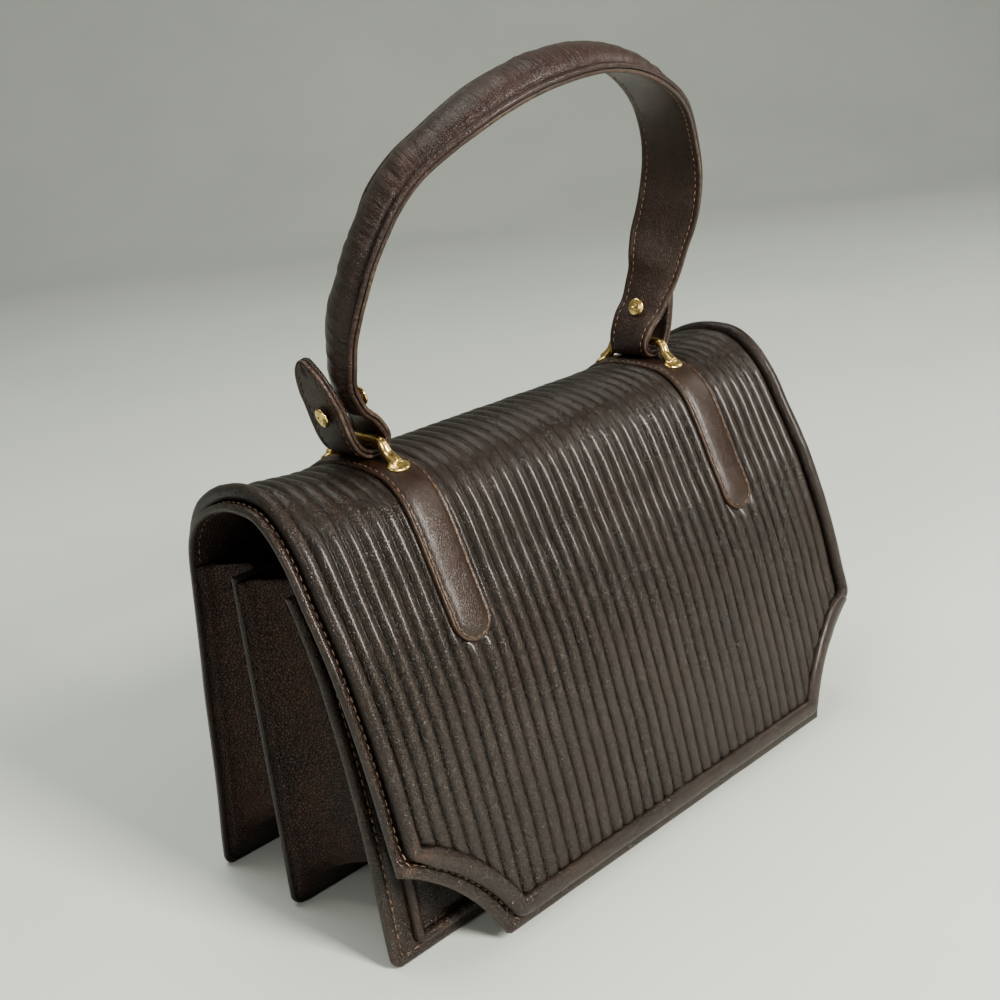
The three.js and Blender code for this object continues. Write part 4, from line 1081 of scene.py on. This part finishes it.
# ---------------------------------------------------------------------- brass
def remeshed(name, parts, voxel, nodes, smooth_steps=4):
    bm = bmesh.new()
    for verts, faces in parts:
        vs = [bm.verts.new(v) for v in place(verts)]
        for fc in faces:
            bm.faces.new([vs[i] for i in fc])
    bmesh.ops.recalc_face_normals(bm, faces=bm.faces)
    me = bpy.data.meshes.new(name)
    bm.to_mesh(me)
    bm.free()
    ob = bpy.data.objects.new(name, me)
    bpy.context.scene.collection.objects.link(ob)
    m = ob.modifiers.new("join", "REMESH")
    m.mode = "VOXEL"
    m.voxel_size = voxel
    m.use_smooth_shade = True
    sm = ob.modifiers.new("soften", "SMOOTH")
    sm.factor = 0.5
    sm.iterations = smooth_steps
    dg = bpy.context.evaluated_depsgraph_get()
    done = bpy.data.meshes.new_from_object(ob.evaluated_get(dg))
    ob.modifiers.clear()
    ob.data = done
    ob.data.name = name
    ob.data.polygons.foreach_set("use_smooth", [True] * len(ob.data.polygons))
    ob.data.materials.clear()
    ob.data.materials.append(MATERIALS["brass"])
    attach(ob, "root")
    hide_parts(*nodes)
    return ob


def strap_top(y, off=2.35):
    t = np.linspace(9, 24, 1500)
    p, n = surf(np.full_like(t, STRAP_X), t, off, True)
    k = np.argmin(np.abs(p[:, 1] - y))
    return p[k], n[k]


def make_loop(sign):
    def foot(y, spread):
        p, n = strap_top(y)
        c = np.array([BAR["x"] - 0.9, p[1], p[2]])
        side = np.array([1.0, 0, 0])
        along = np.cross(n, side)
        rings = []
        for r, h in ((1.0, -0.1), (1.04, 0.15), (0.98, 0.5), (0.8, 0.85), (0.5, 1.12), (0.15, 1.25)):
            a = np.linspace(0, 2 * np.pi, 28, endpoint=False)
            rings.append(c + side * (np.cos(a) * 4.3 * r)[:, None] + along * (np.sin(a) * 3.3 * r)[:, None] + n * h)
        return tube(np.array(rings), False), c + n * 0.7
    (fv, ff), fc = foot(-19.6, 1)
    (bv, bf), bc = foot(17.6, 1)
    x = BAR["x"]
    path = np.array([
        fc + [0, 0.4, 0.0], fc + [0.1, 1.6, 0.8], [x - 0.4, BAR["front"] - 2.3, 153.9], [x, BAR["front"] - 1.0, 156.5],
        [x, BAR["front"] + 1.0, BAR["z"] - 0.2], [x, -5, BAR["z"]], [x, 3, BAR["z"]],
        [x, BAR["back"] - 1.0, BAR["z"] - 0.2], [x, BAR["back"] + 0.9, 156.0], [x - 0.4, BAR["back"] + 2.1, 153.0],
        bc + [0.1, -1.6, 0.8], bc + [0, -0.4, 0.0],
    ])
    t = np.linspace(0, len(path) - 1, 90)
    pts = spline(path, t)
    rad = np.interp(t, [0, 1, 2, 3, 4, 5.5, 7, 8, 9, 10, 11], [2.3, 2.2, 2.0, 1.8, 1.6, 1.4, 1.6, 1.8, 2.0, 2.2, 2.3])
    ups = np.tile([1.0, 0.001, 0.001], (len(pts), 1))
    tv, tf = sweep(pts, ups, rad, rad, 14, False)
    parts = [(fv, ff), (bv, bf), (tv, tf)]
    if sign < 0:
        parts = [(v * [-1, 1, 1], [list(reversed(list(q))) for q in fcs]) for v, fcs in parts]
    name = "left" if sign < 0 else "right"
    remeshed("brass_loop_" + name, parts, 0.00028, ["loop_" + name])


def make_rivet(sign):
    axis = unit(RIVET_OUTER - RIVET_INNER)
    length = np.linalg.norm(RIVET_OUTER - RIVET_INNER)
    e1 = unit(np.cross(axis, [0, 0, 1.0]))
    e2 = np.cross(axis, e1)
    cap = [(0.0, 0.32), (0.45, 0.30), (0.9, 0.12), (1.25, -0.06), (1.7, -0.12), (2.1, 0.02), (2.6, 0.22), (3.0, 0.26), (3.3, 0.45),
           (3.48, 0.75), (3.5, 1.05), (3.35, 1.2), (1.2, 1.25)]
    prof = [(r, h) for r, h in cap] + [(r, length - h) for r, h in cap[::-1]]
    prof[0], prof[-1] = (0.02, prof[0][1]), (0.02, prof[-1][1])
    a = np.linspace(0, 2 * np.pi, 48, endpoint=False)
    rings = np.array([RIVET_INNER + axis * h + (e1 * np.cos(a)[:, None] + e2 * np.sin(a)[:, None]) * r for r, h in prof])
    verts, faces = tube(rings, False)
    verts = verts * [sign, 1, 1]
    name = "left" if sign < 0 else "right"
    piece("brass_rivet_" + name, verts, faces, "brass", ["rivet_" + name])


for sign in (-1, 1):
    make_loop(sign)
    make_rivet(sign)


# ------------------------------------------------------ floor, light and camera
def floor():
    # flat floor that curves up into a backdrop well behind the bag
    away = np.array([0.6646, 0.7472])
    side = np.array([-0.7472, 0.6646])
    line = [(-4.0, 0.0), (0.0, 0.0), (1.6, 0.0)]
    line += [(1.6 + 1.1 * math.sin(a), 1.1 - 1.1 * math.cos(a)) for a in np.linspace(0.1, math.pi / 2, 16)]
    line += [(2.7, 3.5)]
    verts, faces = [], []
    for d, z in line:
        for w in (-7.0, 7.0):
            verts.append((away[0] * d + side[0] * w, away[1] * d + side[1] * w, z - 0.0002))
    for k in range(len(line) - 1):
        faces.append((2 * k, 2 * k + 1, 2 * k + 3, 2 * k + 2))
    me = bpy.data.meshes.new("floor")
    me.from_pydata(verts, [], faces)
    me.polygons.foreach_set("use_smooth", [True] * len(me.polygons))
    ob = bpy.data.objects.new("floor", me)
    bpy.context.scene.collection.objects.link(ob)
    g = Graph("floor_surface")
    g.link(g.mix(g.remap(g.noise(3, 3), 0.35, 0.65), (0.66, 0.70, 0.655, 1), (0.70, 0.74, 0.695, 1)), g.bsdf.inputs["Base Color"])
    g.bsdf.inputs["Roughness"].default_value = 0.6
    me.materials.append(MATERIALS["floor_surface"])


def area(name, at, target, size, power, colour=(1, 1, 1)):
    d = bpy.data.lights.new(name, "AREA")
    d.shape = "RECTANGLE"
    d.size, d.size_y = size
    d.energy = power
    d.color = colour
    ob = bpy.data.objects.new(name, d)
    ob.location = at
    ob.rotation_euler = (Vector(target) - Vector(at)).to_track_quat("-Z", "Y").to_euler()
    ob.visible_camera = False
    bpy.context.scene.collection.objects.link(ob)


floor()
area("key", (0.08, -1.17, 0.78), (0, 0, 0.1), (0.30, 0.52), 29, (1.0, 0.965, 0.905))
area("side", (1.30, -0.45, 0.8), (0, 0, 0.1), (0.4, 0.6), 4, (1.0, 0.97, 0.92))
area("top", (-0.1, 0.45, 1.5), (0, 0, 0.1), (1.0, 1.0), 10.5, (1.0, 0.99, 0.95))
area("left", (-1.3, -0.35, 0.7), (0, 0, 0.1), (0.4, 0.6), 5, (1.0, 0.97, 0.92))

world = bpy.data.worlds.new("studio")
world.use_nodes = True
world.node_tree.nodes["Background"].inputs[0].default_value = (0.20, 0.205, 0.19, 1)
world.node_tree.nodes["Background"].inputs[1].default_value = 1.0
bpy.context.scene.world = world
bpy.context.scene.view_settings.look = "AgX - Medium High Contrast"

cam_data = bpy.data.cameras.new("camera")
cam_data.sensor_width = 36.0
cam_data.lens = 36.0 * 1.33494
cam_data.clip_start = 0.02
cam_data.clip_end = 60.0
cam = bpy.data.objects.new("camera", cam_data)
bpy.context.scene.collection.objects.link(cam)
right = Vector((0.71756, -0.688034, -0.108246))
up = Vector((0.300268, 0.165359, 0.939412))
fwd = Vector((0.628448, 0.706588, -0.325250))
rot = Matrix((right, up, -fwd)).transposed().to_4x4()
cam.matrix_world = Matrix.Translation(Vector((-0.327566, (-355.871 + MID_Y) * 0.001, (279.398 - FOOT) * 0.001))) @ rot
bpy.context.scene.camera = cam

bpy.context.view_layer.update()
